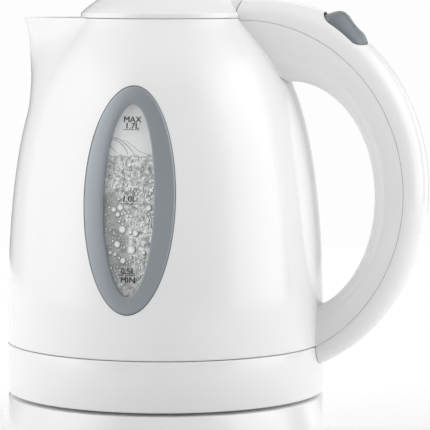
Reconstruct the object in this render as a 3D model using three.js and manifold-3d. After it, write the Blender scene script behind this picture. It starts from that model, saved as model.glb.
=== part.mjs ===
// Cordless electric kettle: a moulded jug with a concealed heating plate on a round power base.
// Millimetres, +Z up. The spout points along -X and the handle along +X. The kettle stands on
// Z = 0, and the whole model is moved along X so that its bounding box is centred on the Z axis.
import * as THREE from "three";
import { mergeVertices } from "three/addons/utils/BufferGeometryUtils.js";
import Module from "manifold-3d";

const wasm = await Module();
wasm.setup();

// ---- Driving dimensions, measured from the jug's own axis and the table ------------------------
const GAP = 0.3; // clearance left between two pieces that touch
const BOX_CENTRE_X = 24.35; // middle of the model's length, between the base's rim and the handle

const BASE = { topZ: 21.5, topR: 78, wideR: 81.5, wideZ: 6, lowZ: 1, lowR: 77.4, wall: 2.4 };
const PLATE = { r: 75, z: 1.6, thick: 2 }; // the base's bottom cover
const FOOT = { r: 6, height: 1.3, circle: 62, count: 4 };
const TOWER = { r: 16, topZ: 36, flangeR: 26, flangeZ: 15.6, bore: 2.6,
  grooveIn: 9, grooveOut: 11.5, grooveZ: 24 };
const COLLAR = { inner: 16.4, outer: 20.1, bottomZ: 19.1, topZ: 22.8 };
const GLAND = { z: 9, bore: 2.9, r: 4.2, flangeR: 5.4, flangeThick: 1.5, inY: 73.2, outY: 81 };

const RING = { r: 78, bottomZ: 23.1, topZ: 47.3, wall: 2.5, floorZ: 25.5, hole: 20.6 };
const JUG = { r: 78, bottomZ: 47.6, rimZ: 206, rimR: 41.4, wall: 2.5 };
const LEDGE = { bottomZ: 56, topZ: 58.5, bore: 58 }; // shelf that the heating plate seals against
const BOSS = { r: 3.4, pilot: 1.7, circle: 70, angles: [60, 180, 300], bottomZ: 25.8 };
const SCREW = { r: 1.3, headR: 3, headHeight: 1.3 };
const HEATER = { r: 64.6, z: 52, thick: 1.5 };
const SEAL = { inner: 59, outer: 64.4, bottomZ: 53.8, topZ: 55.7 };
const CLAMP = { inner: 60, outer: 65.4, bottomZ: 50, topZ: 51.7 };
const DIFFUSER = { r: 52, bottomZ: 49.2, topZ: 51.7 };
const ELEMENT = { circle: 42, r: 3.4, z: 45.4, gapAngle: 25, pinR: 1.6, pinEndZ: 33 };
const CONTROL = { r: 26, halfY: 18, topZ: 48.6, stepX: [-22, -12], stepHalfY: 22, stepTopZ: 45 };
const INLET = { inner: 17.2, outer: 20.2, flangeR: 26, flangeTopZ: 28, bottomZ: 23.4, topZ: 41, roof: 38.5 };
const CONTACTS = { pinR: 2, ringInner: 9.6, ringOuter: 10.9, bottomZ: 26 };

const SPOUT = { halfAngle: 0.663, startZ: 161, keelR: 66.8, keelSlope: 0.1, lipZ: 194, lipFlare: 0.0175 };
const SPOUT_WALL = 3.4; // measured along the jug's radius
const POUR_SLOT = { halfY: 11, fromZ: 176, toZ: 203.4 }; // opening from the vessel into the spout
const FILTER = { halfY: 12.6, fromZ: 173.5, bendZ: 188, toZ: 201, thick: 1.2 };
const FILTER_SLOTS = { rows: 5, pitch: 5, height: 2.6, halfWidth: 2.9, centres: [-8, 0, 8] };

const WINDOW = { z: 122.2, halfX: 21.9, halfZ: 53, lensHalfX: 12.3, lensHalfZ: 44.5, proud: 0.9 };

// The handle's three edges, seen from the side, are arcs of three ellipses: [x, z, half x, half z].
const CREST = [48.64, 123.87, 81.76, 92.21]; // outer edge of the cover
const PARTING = [41.8, 121.7, 77.85, 83.34]; // line where cover and jug moulding meet
const GRIP = [64.54, 119.66, 40.64, 55.97]; // inner edge, towards the jug
const HANDLE = { halfY: 12.3, taper: 0.95, wallShare: 0.82, topAngle: 1.75, endAngle: -1.33 };
const GRIP_CROWD = 0.38; // keeps the grip's points abreast of the parting line's

const SWITCH = { x: 91, z: 202.74, slope: -0.616, pivotDrop: 4.5, margin: 0.6 };
const ROCKER = { fromX: -12.3, toX: 12.8, topHalfY: 8.4, lowHalfY: 9.3, cornerR: 5.8 };
const CROWN = { halfY: 13.1, depth: 13.2, humpFall: 0.75 }; // the crest's roundness where the switch sits
const PIVOT = { pinR: 1.2, halfY: 6.2, rockerHoleR: 1.6, bodyHoleR: 1.5, earY: 3.8 };
const INDICATOR = { fromX: -6.6, toX: 2.4, halfY: 3.4, fromZ: 0.9, tilt: 0.2 };
const STEAM_PORT = { z: 195, r: 4, ductWall: 1.6, ductStartX: 44, ductEndX: 56.6, discX: 57, discR: 7 };

const LID = { r: 41.3, bottomZ: 206.3, cornerZ: 208.4, domeR: 61.7, domeZ: 162.8, wall: 2.2 };
const LINER = { r: 36.4, bottomZ: 199, wall: 1.7, rimZ: 206.3 };
const HINGE = { x: 44.5, z: 209.5, pinR: 1.5, knuckleR: 4.5, tailHalfY: 9.6, slotHalfY: 10.1 };
const BUTTON = { r: 11, hole: 11.4, flangeR: 13, topZ: 225.5, stemR: 3, bottomZ: 206, flangeZ: 218.4 };
const FINGER = { fromX: -18, toX: -14.5, halfY: 3 }; // stands down from the button into the latch
const BUTTON_SPRING = { r: 5.2, wire: 0.5, turns: 5, fromZ: 208.1, toZ: 217.6 };
const LATCH = { tipX: -42, endX: -11.3, halfY: 5, z: 201.2, thick: 2 };
const LATCH_WINDOW = { fromX: -22, toX: -14, halfY: 3.5 };

// ---- Small helpers --------------------------------------------------------------------------------
const paint = (color, roughness, metalness = 0) =>
  new THREE.MeshStandardMaterial({ color, roughness, metalness });

const MATERIALS = {
  white: paint(0xf1f1ef, 0.22),
  grey: paint(0x7d858d, 0.4),
  lens: paint(0xdfe4e6, 0.08),
  steel: paint(0xb9bcc0, 0.3, 1),
  aluminium: paint(0xc4c6c8, 0.45, 1),
  brass: paint(0xb8934a, 0.35, 1),
  silicone: paint(0xd8d6cf, 0.6),
  rubber: paint(0x55585b, 0.85),
  black: paint(0x2a2b2d, 0.5),
  mesh: paint(0xe3e4e3, 0.5),
};

// A closed solid for joining and cutting: shared corners are merged and empty triangles dropped.
function solid(geometry) {
  const bare = geometry.clone();
  bare.deleteAttribute("normal");
  bare.deleteAttribute("uv");
  const merged = mergeVertices(bare);
  const index = merged.index.array;
  const triangles = [];
  for (let i = 0; i < index.length; i += 3) {
    const [a, b, c] = [index[i], index[i + 1], index[i + 2]];
    if (a !== b && b !== c && c !== a) triangles.push(a, b, c);
  }
  const vertProperties = new Float32Array(merged.attributes.position.array);
  const triVerts = new Uint32Array(triangles);
  return new wasm.Manifold(new wasm.Mesh({ numProp: 3, vertProperties, triVerts }));
}

// The geometry of a joined or cut solid.
function geometryOf(body) {
  const mesh = body.getMesh();
  const geometry = new THREE.BufferGeometry();
  geometry.setAttribute("position", new THREE.BufferAttribute(new Float32Array(mesh.vertProperties), 3));
  geometry.setIndex(new THREE.BufferAttribute(new Uint32Array(mesh.triVerts), 1));
  geometry.computeVertexNormals();
  return geometry;
}

// Adds one named piece to its group. A shape is a geometry or a joined and cut solid.
function piece(group, name, shape, material) {
  const geometry = shape.isBufferGeometry ? shape : geometryOf(shape);
  const mesh = new THREE.Mesh(geometry, material);
  mesh.name = name;
  group.add(mesh);
}

// A solid of revolution about Z from [radius, z] points, listed anticlockwise.
function turned(points, segments = 32) {
  const outline = points.map(([r, z]) => new THREE.Vector2(r, z));
  return new THREE.LatheGeometry(outline, segments).rotateX(Math.PI / 2);
}

// The same for an outline that doesn't touch the axis: it closes on its first point.
const ringOf = (points, segments) => turned([...points, points[0]], segments);

// A rectangular ring about Z.
function washer(inner, outer, fromZ, toZ, segments) {
  return ringOf([[inner, fromZ], [outer, fromZ], [outer, toZ], [inner, toZ]], segments);
}

// A round bar along Z.
function rod(r, fromZ, toZ, segments = 16) {
  return turned([[0, fromZ], [r, fromZ], [r, toZ], [0, toZ]], segments);
}

// A round bar along Y.
const crossRod = (r, halfY, segments = 16) => new THREE.CylinderGeometry(r, r, 2 * halfY, segments);

function box(fromX, toX, fromY, toY, fromZ, toZ) {
  const block = new THREE.BoxGeometry(toX - fromX, toY - fromY, toZ - fromZ);
  return block.translate((fromX + toX) / 2, (fromY + toY) / 2, (fromZ + toZ) / 2);
}

const onCircle = (circle, degrees) => {
  const angle = THREE.MathUtils.degToRad(degrees);
  return [circle * Math.cos(angle), circle * Math.sin(angle)];
};

// A bar of one section, made 1 long and then bent: place(x, y, t) says where each point goes.
function bentBar(section, steps, curveSegments, place) {
  const bar = new THREE.ExtrudeGeometry(section, { depth: 1, steps, curveSegments, bevelEnabled: false });
  const at = bar.attributes.position;
  for (let i = 0; i < at.count; i += 1) at.setXYZ(i, ...place(at.getX(i), at.getY(i), at.getZ(i)));
  return bar;
}

// ---- The jug's outline ----------------------------------------------------------------------------
// From the straight foot the side bends in to the rim in one sweep.
const jugOutline = new THREE.CubicBezierCurve(
  new THREE.Vector2(JUG.r, JUG.bottomZ),
  new THREE.Vector2(JUG.r, 181.8),
  new THREE.Vector2(53.6, 186),
  new THREE.Vector2(JUG.rimR, JUG.rimZ),
).getPoints(120);

function jugRadius(z) {
  const above = jugOutline.findIndex((p) => p.y >= z);
  if (above < 0) return JUG.rimR;
  if (above === 0) return JUG.r;
  const [low, high] = [jugOutline[above - 1], jugOutline[above]];
  return low.x + ((high.x - low.x) * (z - low.y)) / (high.y - low.y);
}

// Heights for the jug's rings of points, closer together towards the rim.
function jugHeights(fromZ, toZ, count) {
  const turn = 1.35;
  const list = [];
  for (let i = 0; i <= count; i += 1) {
    const share = Math.sin((i / count) * turn) / Math.sin(turn);
    list.push(fromZ + (toZ - fromZ) * share);
  }
  return list;
}

const jugSide = (offset, fromZ, toZ, count) =>
  jugHeights(fromZ, toZ, count).map((z) => [jugRadius(z) + offset, z]);

// How far the spout stands out of the jug at an angle from -X, and at a height.
function spoutReach(angle, z) {
  const keel = SPOUT.keelR + SPOUT.keelSlope * (z - SPOUT.startZ)
    + SPOUT.lipFlare * Math.max(0, z - SPOUT.lipZ) ** 2;
  const reach = Math.max(0, keel - jugRadius(z));
  const rest = 1 - Math.min(1, Math.hypot(angle, 0.02) / SPOUT.halfAngle);
  const rise = THREE.MathUtils.clamp((z - SPOUT.startZ) / (JUG.rimZ - SPOUT.startZ), 0, 1);
  return reach * rest * (0.31 + 0.69 * rest ** (0.2 + 1.4 * rise));
}

// Draws the rings' points closer together at the spout, and pulls the spout out of the jug's side.
// The inset is the thickness left between the spout's outer skin and the result.
function pulled(geometry, inset) {
  const at = geometry.attributes.position;
  for (let i = 0; i < at.count; i += 1) {
    const [x, y, z] = [at.getX(i), at.getY(i), at.getZ(i)];
    const r = Math.hypot(x, y);
    const even = Math.atan2(y, -x);
    const angle = even - 0.55 * Math.sin(even);
    const side = r > jugRadius(z) - 0.01;
    const out = r + (side ? Math.max(0, spoutReach(angle, z) - inset) : 0);
    at.setXYZ(i, -out * Math.cos(angle), out * Math.sin(angle), z);
  }
  return geometry;
}

// ---- The handle's rail ----------------------------------------------------------------------------
const onEllipse = ([x, z, halfX, halfZ], angle) =>
  [x + halfX * Math.cos(angle), z + halfZ * Math.sin(angle)];

// A point of the handle: across from -1 to 1, and out from the parting line (0) to an edge (1).
function handlePoint(edge, across, out, angle) {
  const [px, pz] = onEllipse(PARTING, angle);
  const edgeAngle = edge === GRIP ? angle + GRIP_CROWD * Math.sin(2 * angle) : angle;
  const [ex, ez] = onEllipse(edge, edgeAngle);
  const halfY = HANDLE.halfY + HANDLE.taper * Math.sin(angle);
  return [px + (ex - px) * out, across * halfY, pz + (ez - pz) * out];
}

const handleAngle = (t) => HANDLE.topAngle + (HANDLE.endAngle - HANDLE.topAngle) * t;

// The cover's section: half an ellipse, with or without its hollow.
function coverSection() {
  const [seam, inner] = [0.03, HANDLE.wallShare];
  const shape = new THREE.Shape();
  shape.moveTo(1, seam);
  shape.absellipse(0, seam, 1, 1 - seam, 0, Math.PI, false);
  shape.lineTo(-inner, seam);
  shape.absellipse(0, seam, inner, inner - seam, Math.PI, 0, true);
  shape.closePath();
  return shape;
}

// The jug side's section: a channel with rounded corners, open towards the cover.
function channelSection() {
  const [corner, inner] = [0.5, HANDLE.wallShare];
  const hollowCorner = corner * inner;
  const shape = new THREE.Shape();
  shape.moveTo(1, 0);
  shape.lineTo(1, corner);
  shape.absellipse(corner, corner, corner, corner, 0, Math.PI / 2, false);
  shape.absellipse(-corner, corner, corner, corner, Math.PI / 2, Math.PI, false);
  shape.lineTo(-1, 0);
  shape.lineTo(-inner, 0);
  shape.lineTo(-inner, hollowCorner);
  shape.absellipse(-hollowCorner, hollowCorner, hollowCorner, hollowCorner, Math.PI, Math.PI / 2, true);
  shape.absellipse(hollowCorner, hollowCorner, hollowCorner, hollowCorner, Math.PI / 2, 0, true);
  shape.closePath();
  return shape;
}

// ---- Jug ------------------------------------------------------------------------------------------
const spaceAbove = (fromZ, toZ, offset, count) =>
  solid(turned([[0, fromZ], ...jugSide(offset, fromZ, toZ, count), [0, toZ]], 48));

function spoutedSolid(inset, toZ) {
  const side = jugSide(0, JUG.bottomZ, JUG.rimZ, 13);
  const top = toZ > JUG.rimZ ? [[JUG.rimR, toZ]] : [];
  return solid(pulled(turned([[0, JUG.bottomZ], ...side, ...top, [0, toZ]], 60), inset));
}

const windowPrism = (halfX, halfZ, segments = 40) =>
  new THREE.CylinderGeometry(1, 1, 200, segments).scale(halfX, 1, halfZ).translate(0, 0, WINDOW.z);

// The grip: the handle's inner half, an open channel that ends against the jug's side.
function handleGrip() {
  const rise = (x, y, t) => handlePoint(GRIP, x, y, handleAngle(1 - t));
  const bar = solid(bentBar(channelSection(), 24, 3, rise));
  return bar.subtract(solid(box(0, 150, -40, 40, 0, JUG.bottomZ)))
    .subtract(spaceAbove(JUG.bottomZ - 1, JUG.rimZ, GAP, 13));
}

function jugBoss(degrees) {
  const [x, y] = onCircle(BOSS.circle, degrees);
  const post = solid(rod(BOSS.r, BOSS.bottomZ, LEDGE.bottomZ + 1).translate(x, y, 0));
  return [post, solid(rod(BOSS.pilot, BOSS.bottomZ - 1, 40, 12).translate(x, y, 0))];
}

function bodyShell() {
  const vessel = spaceAbove(LEDGE.topZ, JUG.rimZ + 1, -JUG.wall, 9);
  const chamber = solid(rod(JUG.r - JUG.wall, JUG.bottomZ - 1, LEDGE.bottomZ, 48));
  const ledgeHole = solid(rod(LEDGE.bore, LEDGE.bottomZ - 1, LEDGE.topZ + 1, 48));
  const windows = solid(windowPrism(WINDOW.halfX + GAP, WINDOW.halfZ + GAP));
  const port = rod(STEAM_PORT.r, 0, 30, 16).rotateY(Math.PI / 2).translate(38, 0, STEAM_PORT.z);
  let body = spoutedSolid(0, JUG.rimZ);
  for (const space of [vessel, chamber, ledgeHole, spoutChannel(), pourSlot(), windows, solid(port)]) {
    body = body.subtract(space);
  }
  for (const degrees of BOSS.angles) {
    const [post, pilot] = jugBoss(degrees);
    body = body.add(post).subtract(pilot);
  }
  return body;
}

// The spout's own hollow, outside the jug's side wall and open at the top.
function spoutChannel() {
  const wallSide = spaceAbove(JUG.bottomZ - 1, JUG.rimZ + 2, 0.4, 13);
  return spoutedSolid(SPOUT_WALL, JUG.rimZ + 1).subtract(wallSide);
}

// The slot through the jug's side wall, which leaves the spout outside it whole.
function pourSlot() {
  const slot = solid(box(-70, -30, -POUR_SLOT.halfY, POUR_SLOT.halfY, POUR_SLOT.fromZ, POUR_SLOT.toZ));
  const outside = solid(box(-90, 0, -40, 40, 150, 215));
  return slot.subtract(outside.subtract(spaceAbove(JUG.bottomZ, JUG.rimZ + 9, 0.2, 13)));
}

// The handle's cover hooks round the lid's rear edge at the top and over the ring at the bottom.
function handleCover() {
  const run = (x, y, t) => handlePoint(CREST, x, y, handleAngle(t));
  let cover = solid(bentBar(coverSection(), 24, 5, run));
  cover = cover.subtract(solid(rod(LID.r + 0.6, 190, 240, 64)));
  cover = cover.subtract(solid(rod(JUG.r + GAP, 0, 60, 72)));
  cover = cover.subtract(spaceAbove(JUG.bottomZ, JUG.rimZ, GAP, 13));
  const slot = box(30, HINGE.x + HINGE.knuckleR + 0.6, -HINGE.slotHalfY, HINGE.slotHalfY, 190, 240);
  cover = cover.subtract(solid(slot));
  cover = cover.subtract(solid(atHinge(crossRod(HINGE.pinR + GAP, 20))));
  return cover.subtract(solid(atSwitch(switchPrism(SWITCH.margin, -20, 20))));
}

const atHinge = (geometry) => geometry.translate(HINGE.x, 0, HINGE.z);

function windowBezel(side) {
  const ring = solid(windowPrism(WINDOW.halfX, WINDOW.halfZ))
    .subtract(solid(windowPrism(WINDOW.lensHalfX, WINDOW.lensHalfZ)));
  return ring.intersect(windowShell(-JUG.wall - 0.6, WINDOW.proud)).intersect(halfSpace(side));
}

function windowLens(side) {
  const oval = solid(windowPrism(WINDOW.lensHalfX - GAP, WINDOW.lensHalfZ - GAP, 32));
  return oval.intersect(windowShell(-JUG.wall + 0.2, -0.7)).intersect(halfSpace(side));
}

const halfSpace = (side) => solid(box(-60, 60, side < 0 ? -100 : 0, side < 0 ? 0 : 100, 0, 220));

// The part of the jug's wall between two offsets, over the window's height.
function windowShell(inner, outer) {
  const low = WINDOW.z - WINDOW.halfZ - 4;
  const high = WINDOW.z + WINDOW.halfZ + 4;
  const outside = jugSide(outer, low, high, 9);
  return solid(ringOf([...outside, ...jugSide(inner, low, high, 9).reverse()], 96));
}

function spoutFilter() {
  const [f, slots] = [FILTER, FILTER_SLOTS];
  const side = (offset) => [f.fromZ, f.bendZ, f.toZ].map((z) => [jugRadius(z) + offset, z]);
  const inner = -JUG.wall - 0.4;
  const shell = solid(ringOf([...side(inner), ...side(inner - f.thick).reverse()], 96));
  let plate = shell.intersect(solid(box(-80, 0, -f.halfY, f.halfY, 150, 215)));
  for (let row = 0; row < slots.rows; row += 1) {
    const z = f.fromZ + 4 + row * slots.pitch;
    for (const y of slots.centres) {
      const slot = box(-80, 0, y - slots.halfWidth, y + slots.halfWidth, z, z + slots.height);
      plate = plate.subtract(solid(slot));
    }
  }
  return plate;
}

function bottomHousing() {
  const r = RING;
  const inside = r.r - r.wall;
  const outline = [[r.hole, r.bottomZ], [r.r - 1.2, r.bottomZ], [r.r, r.bottomZ + 1.2], [r.r, r.topZ],
    [inside, r.topZ], [inside, r.floorZ], [r.hole, r.floorZ]];
  let housing = solid(ringOf(outline, 56));
  for (const degrees of BOSS.angles) {
    const [x, y] = onCircle(BOSS.circle, degrees);
    const seat = rod(SCREW.headR + 0.5, r.bottomZ - 1, r.bottomZ + 1.6).translate(x, y, 0);
    const hole = rod(SCREW.r + 0.5, r.bottomZ - 1, r.floorZ + 1, 12).translate(x, y, 0);
    housing = housing.subtract(solid(seat)).subtract(solid(hole));
  }
  return housing;
}

// A pan-head screw pointing up, with its head's underside at headZ.
function screw(headZ, tipZ, circle, degrees) {
  const [x, y] = onCircle(circle, degrees);
  const s = SCREW;
  const outline = [[0, headZ], [s.headR - 0.5, headZ], [s.headR, headZ + 0.5],
    [s.headR, headZ + s.headHeight], [s.r, headZ + s.headHeight], [s.r, tipZ - 1.2], [0, tipZ]];
  return turned(outline, 12).translate(x, y, 0);
}

class Horseshoe extends THREE.Curve {
  getPoint(t) {
    const sweep = 360 - 2 * ELEMENT.gapAngle;
    const [x, y] = onCircle(ELEMENT.circle, ELEMENT.gapAngle + sweep * t);
    return new THREE.Vector3(x, y, ELEMENT.z);
  }
}

// The sheathed element: a horseshoe tube with a terminal pin standing down from each end.
function heatingElement() {
  const section = new THREE.Shape().absarc(0, 0, ELEMENT.r, 0, 2 * Math.PI, false);
  const options = { steps: 26, curveSegments: 4, extrudePath: new Horseshoe(), bevelEnabled: false };
  let element = solid(new THREE.ExtrudeGeometry(section, options));
  for (const degrees of [ELEMENT.gapAngle + 3, -ELEMENT.gapAngle - 3]) {
    const [x, y] = onCircle(ELEMENT.circle, degrees);
    element = element.add(solid(rod(ELEMENT.pinR, ELEMENT.pinEndZ, ELEMENT.z, 10).translate(x, y, 0)));
  }
  return element;
}

function thermostatControl() {
  const c = CONTROL;
  const fromZ = INLET.topZ + GAP;
  const flats = box(-c.r, c.r, -c.halfY, c.halfY, 0, 60);
  const block = solid(rod(c.r, fromZ, c.topZ, 36)).intersect(solid(flats));
  return block.add(solid(box(...c.stepX, -c.stepHalfY, c.stepHalfY, fromZ, c.stepTopZ)));
}

function applianceInlet() {
  const i = INLET;
  return turned([[0, i.roof], [i.inner, i.roof], [i.inner, i.bottomZ], [i.outer, i.bottomZ],
    [i.outer, RING.floorZ + GAP], [i.flangeR, RING.floorZ + GAP], [i.flangeR, i.flangeTopZ],
    [i.outer, i.flangeTopZ],
    [i.outer, i.topZ], [0, i.topZ]], 32);
}

// ---- Switch ---------------------------------------------------------------------------------------
// The switch's own frame: X down along the handle's crest, Y across, Z out of the crest.
const atSwitch = (geometry) => geometry.rotateY(-SWITCH.slope).translate(SWITCH.x, 0, SWITCH.z);

// The rocker's outline, a rounded oblong a little wider down the handle, grown all round by a margin.
function switchOutline(margin) {
  const { fromX, toX, topHalfY, lowHalfY, cornerR } = ROCKER;
  const grown = cornerR + margin;
  const quarter = Math.PI / 2;
  const shape = new THREE.Shape();
  shape.absarc(toX - cornerR, lowHalfY - cornerR, grown, 0, quarter, false);
  shape.absarc(fromX + cornerR, topHalfY - cornerR, grown, quarter, 2 * quarter, false);
  shape.absarc(fromX + cornerR, cornerR - topHalfY, grown, 2 * quarter, 3 * quarter, false);
  shape.absarc(toX - cornerR, cornerR - lowHalfY, grown, 3 * quarter, 4 * quarter, false);
  shape.closePath();
  return shape;
}

function switchPrism(margin, fromZ, toZ) {
  const depth = toZ - fromZ;
  return new THREE.ExtrudeGeometry(switchOutline(margin), { depth, curveSegments: 5, bevelEnabled: false })
    .translate(0, 0, fromZ);
}

// Lowers points to the sides as the crest's crown does, and a hump on it a little more.
function crowned(geometry) {
  const position = geometry.attributes.position;
  for (let i = 0; i < position.count; i += 1) {
    const [y, z] = [position.getY(i), position.getZ(i)];
    const crown = CROWN.depth * (1 - Math.sqrt(1 - (y / CROWN.halfY) ** 2));
    const fall = Math.max(0, z) * CROWN.humpFall * (y / ROCKER.lowHalfY) ** 2;
    position.setZ(i, z - crown - fall);
  }
  return geometry;
}

// The rocker without its hollows: a hump for the thumb near the lid, running out down the crest.
function rockerBlank() {
  const side = new THREE.Shape();
  side.moveTo(-15, -6);
  side.lineTo(-15, -5.5);
  side.bezierCurveTo(-10, 0, -9.5, 4.05, -5, 4.05);
  side.bezierCurveTo(-1.5, 4.05, 0, 2.4, 2.6, 1.95);
  side.bezierCurveTo(5.5, 1.4, 7.5, 1.4, 9.2, 0.6);
  side.lineTo(15, -3);
  side.lineTo(15, -6);
  side.closePath();
  const options = { depth: 22, steps: 8, curveSegments: 6, bevelEnabled: false };
  const across = new THREE.ExtrudeGeometry(side, options).rotateX(Math.PI / 2).translate(0, 11, 0);
  return solid(atSwitch(crowned(across))).intersect(solid(atSwitch(switchPrism(0, -6, 8))));
}

function rockerSwitch() {
  const hole = crossRod(PIVOT.rockerHoleR, PIVOT.halfY + 0.4).translate(0, 0, -SWITCH.pivotDrop);
  const hollow = box(-8, 3.5, -5, 5, -7, -1.2);
  let rocker = rockerBlank();
  for (const space of [hollow, hole, indicatorColumn(GAP, INDICATOR.fromZ - GAP)]) {
    rocker = rocker.subtract(solid(atSwitch(space)));
  }
  return rocker;
}

// The indicator's rectangle grown by a margin, from a sloping floor to well over the rocker.
function indicatorColumn(margin, fromZ) {
  const { fromX, toX, halfY, tilt } = INDICATOR;
  const halfWidth = halfY + margin;
  return box(fromX - margin, toX + margin, -halfWidth, halfWidth, fromZ, 9).rotateY(tilt);
}

// The switch block, with two ears that stand up inside the rocker and hold its pin.
function switchBody() {
  let block = solid(atSwitch(box(-9, 9, -7.5, 7.5, -17, -8.8)));
  for (const y of [-PIVOT.earY, PIVOT.earY]) {
    block = block.add(solid(atSwitch(box(-2.5, 2.5, y - 0.8, y + 0.8, -9, -2.6))));
  }
  const hole = crossRod(PIVOT.bodyHoleR, 6).translate(0, 0, -SWITCH.pivotDrop);
  return block.subtract(solid(atSwitch(hole)));
}

const indicatorLens = () => rockerBlank().intersect(solid(atSwitch(indicatorColumn(0, INDICATOR.fromZ))));
const rockerPin = () => atSwitch(crossRod(PIVOT.pinR, PIVOT.halfY, 12).translate(0, 0, -SWITCH.pivotDrop));

function bimetalDisc() {
  const p = STEAM_PORT;
  return rod(p.discR, 0, 0.8, 20).rotateY(Math.PI / 2).translate(p.discX, 0, p.z);
}

// The duct is cut off to the slope of the jug's side.
function steamDuct() {
  const p = STEAM_PORT;
  const inner = p.r + 0.4;
  const tube = washer(inner, inner + p.ductWall, p.ductStartX, p.ductEndX, 20).rotateY(Math.PI / 2);
  return solid(tube.translate(0, 0, p.z)).subtract(spaceAbove(150, JUG.rimZ, GAP, 9));
}

// ---- Lid ------------------------------------------------------------------------------------------
const domeZ = (r, thick = 0) => LID.domeZ + Math.sqrt((LID.domeR - thick) ** 2 - r * r);

function domePoints(fromR, toR, thick, count) {
  const list = [];
  for (let i = 0; i <= count; i += 1) {
    const r = fromR + ((toR - fromR) * i) / count;
    list.push([r, domeZ(r, thick)]);
  }
  return list;
}

function lidShell() {
  const rim = LID.r - 2.4;
  const outer = [[LID.r, LID.bottomZ], [LID.r, LID.cornerZ], [LID.r - 0.5, LID.cornerZ + 0.9]];
  const dome = ringOf([[rim, LID.bottomZ], ...outer, ...domePoints(39.4, BUTTON.hole, 0, 6),
    ...domePoints(BUTTON.hole, rim - 0.4, LID.wall, 5)], 48);
  const insideWall = turned([[0, 195], [40.2, 195], [40.2, 207.4], ...domePoints(38.8, 0, 1, 6)], 48);
  const tail = solid(lidTail()).subtract(solid(insideWall));
  return solid(dome).add(tail).subtract(solid(atHinge(crossRod(HINGE.pinR + GAP, 20))));
}

// The tongue that runs back from the dome to the hinge pin.
function lidTail() {
  const h = HINGE;
  const side = new THREE.Shape();
  side.moveTo(36, 207);
  side.lineTo(41.2, 206.4);
  side.absarc(h.x, h.z, h.knuckleR - 1.2, -2.2, 0.3, false);
  side.absarc(h.x, h.z, h.knuckleR, 0.3, Math.PI / 2, false);
  side.lineTo(32, domeZ(32) - 0.6);
  side.closePath();
  return new THREE.ExtrudeGeometry(side, { depth: 2 * h.tailHalfY, curveSegments: 5, bevelEnabled: false })
    .rotateX(Math.PI / 2).translate(0, h.tailHalfY, 0);
}

function lidLiner() {
  const l = LINER;
  const inside = l.r - l.wall;
  const floor = l.bottomZ + l.wall;
  const [guideR, guideWall, guideZ] = [3.5, 3.5, 207.6]; // the tube that guides the button's stem
  const outline = [[0, l.bottomZ], [l.r - 0.8, l.bottomZ], [l.r, l.bottomZ + 0.8], [l.r, l.rimZ + GAP],
    [l.r, domeZ(l.r, LID.wall) - GAP], [inside, domeZ(inside, LID.wall) - 1.2], [inside, floor],
    [guideR + guideWall, floor], [guideR + guideWall, guideZ], [guideR, guideZ], [guideR, floor],
    [0, floor]];
  const halfY = LATCH.halfY + 0.4;
  const latchWay = box(-45, -30, -halfY, halfY, LATCH.z - 0.3, LATCH.z + LATCH.thick + 0.4);
  return solid(turned(outline, 48)).subtract(solid(latchWay));
}

const lidPin = () => atHinge(crossRod(HINGE.pinR, 11.2, 14));

// The push button: cap, retaining flange, guide stem, and a finger that works the latch.
function lidButton() {
  const b = BUTTON;
  const flangeTop = b.flangeZ + 1.4;
  const outline = [[0, b.bottomZ], [b.stemR, b.bottomZ], [b.stemR, b.flangeZ], [b.flangeR, b.flangeZ],
    [b.flangeR, flangeTop], [b.r, flangeTop], [b.r, b.topZ - 1.6], [b.r - 1, b.topZ - 0.5], [0, b.topZ]];
  const cap = turned(outline, 36);
  const { fromX, toX, halfY } = FINGER;
  const arm = box(fromX, -6.6, -halfY, halfY, b.flangeZ - 2.2, b.flangeZ + 0.4);
  const finger = box(fromX, toX, -halfY, halfY, LATCH.z + LATCH.thick + 1, b.flangeZ);
  return solid(cap).add(solid(arm)).add(solid(finger));
}

class Coil extends THREE.Curve {
  getPoint(t) {
    const s = BUTTON_SPRING;
    const angle = 2 * Math.PI * s.turns * t;
    const z = s.fromZ + (s.toZ - s.fromZ) * t;
    return new THREE.Vector3(s.r * Math.cos(angle), s.r * Math.sin(angle), z);
  }
}

function buttonSpring() {
  const wire = new THREE.Shape().absarc(0, 0, BUTTON_SPRING.wire, 0, 2 * Math.PI, false);
  const options = { steps: 45, curveSegments: 3, extrudePath: new Coil(), bevelEnabled: false };
  return new THREE.ExtrudeGeometry(wire, options);
}

// The latch: a flat bolt with a window that the button's finger drops through.
function lidLatch() {
  const l = LATCH;
  const bolt = solid(box(l.tipX, l.endX, -l.halfY, l.halfY, l.z, l.z + l.thick));
  const w = LATCH_WINDOW;
  return bolt.subtract(solid(box(w.fromX, w.toX, -w.halfY, w.halfY, l.z - 1, l.z + l.thick + 1)));
}

// ---- Power base -----------------------------------------------------------------------------------
const BASE_SCREWS = { circle: 44, angles: [30, 150, 270], bossR: 3.8 };

function baseOutside() {
  const b = BASE;
  const flare = new THREE.QuadraticBezierCurve(
    new THREE.Vector2(b.wideR, b.wideZ),
    new THREE.Vector2(b.wideR - 0.9, 12.5),
    new THREE.Vector2(b.topR, b.topZ - 1.1),
  );
  return [[b.lowR, b.lowZ], [b.wideR - 0.6, b.wideZ - 1.6], ...flare.getPoints(4).map((p) => [p.x, p.y]),
    [b.topR - 1, b.topZ]];
}

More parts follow.
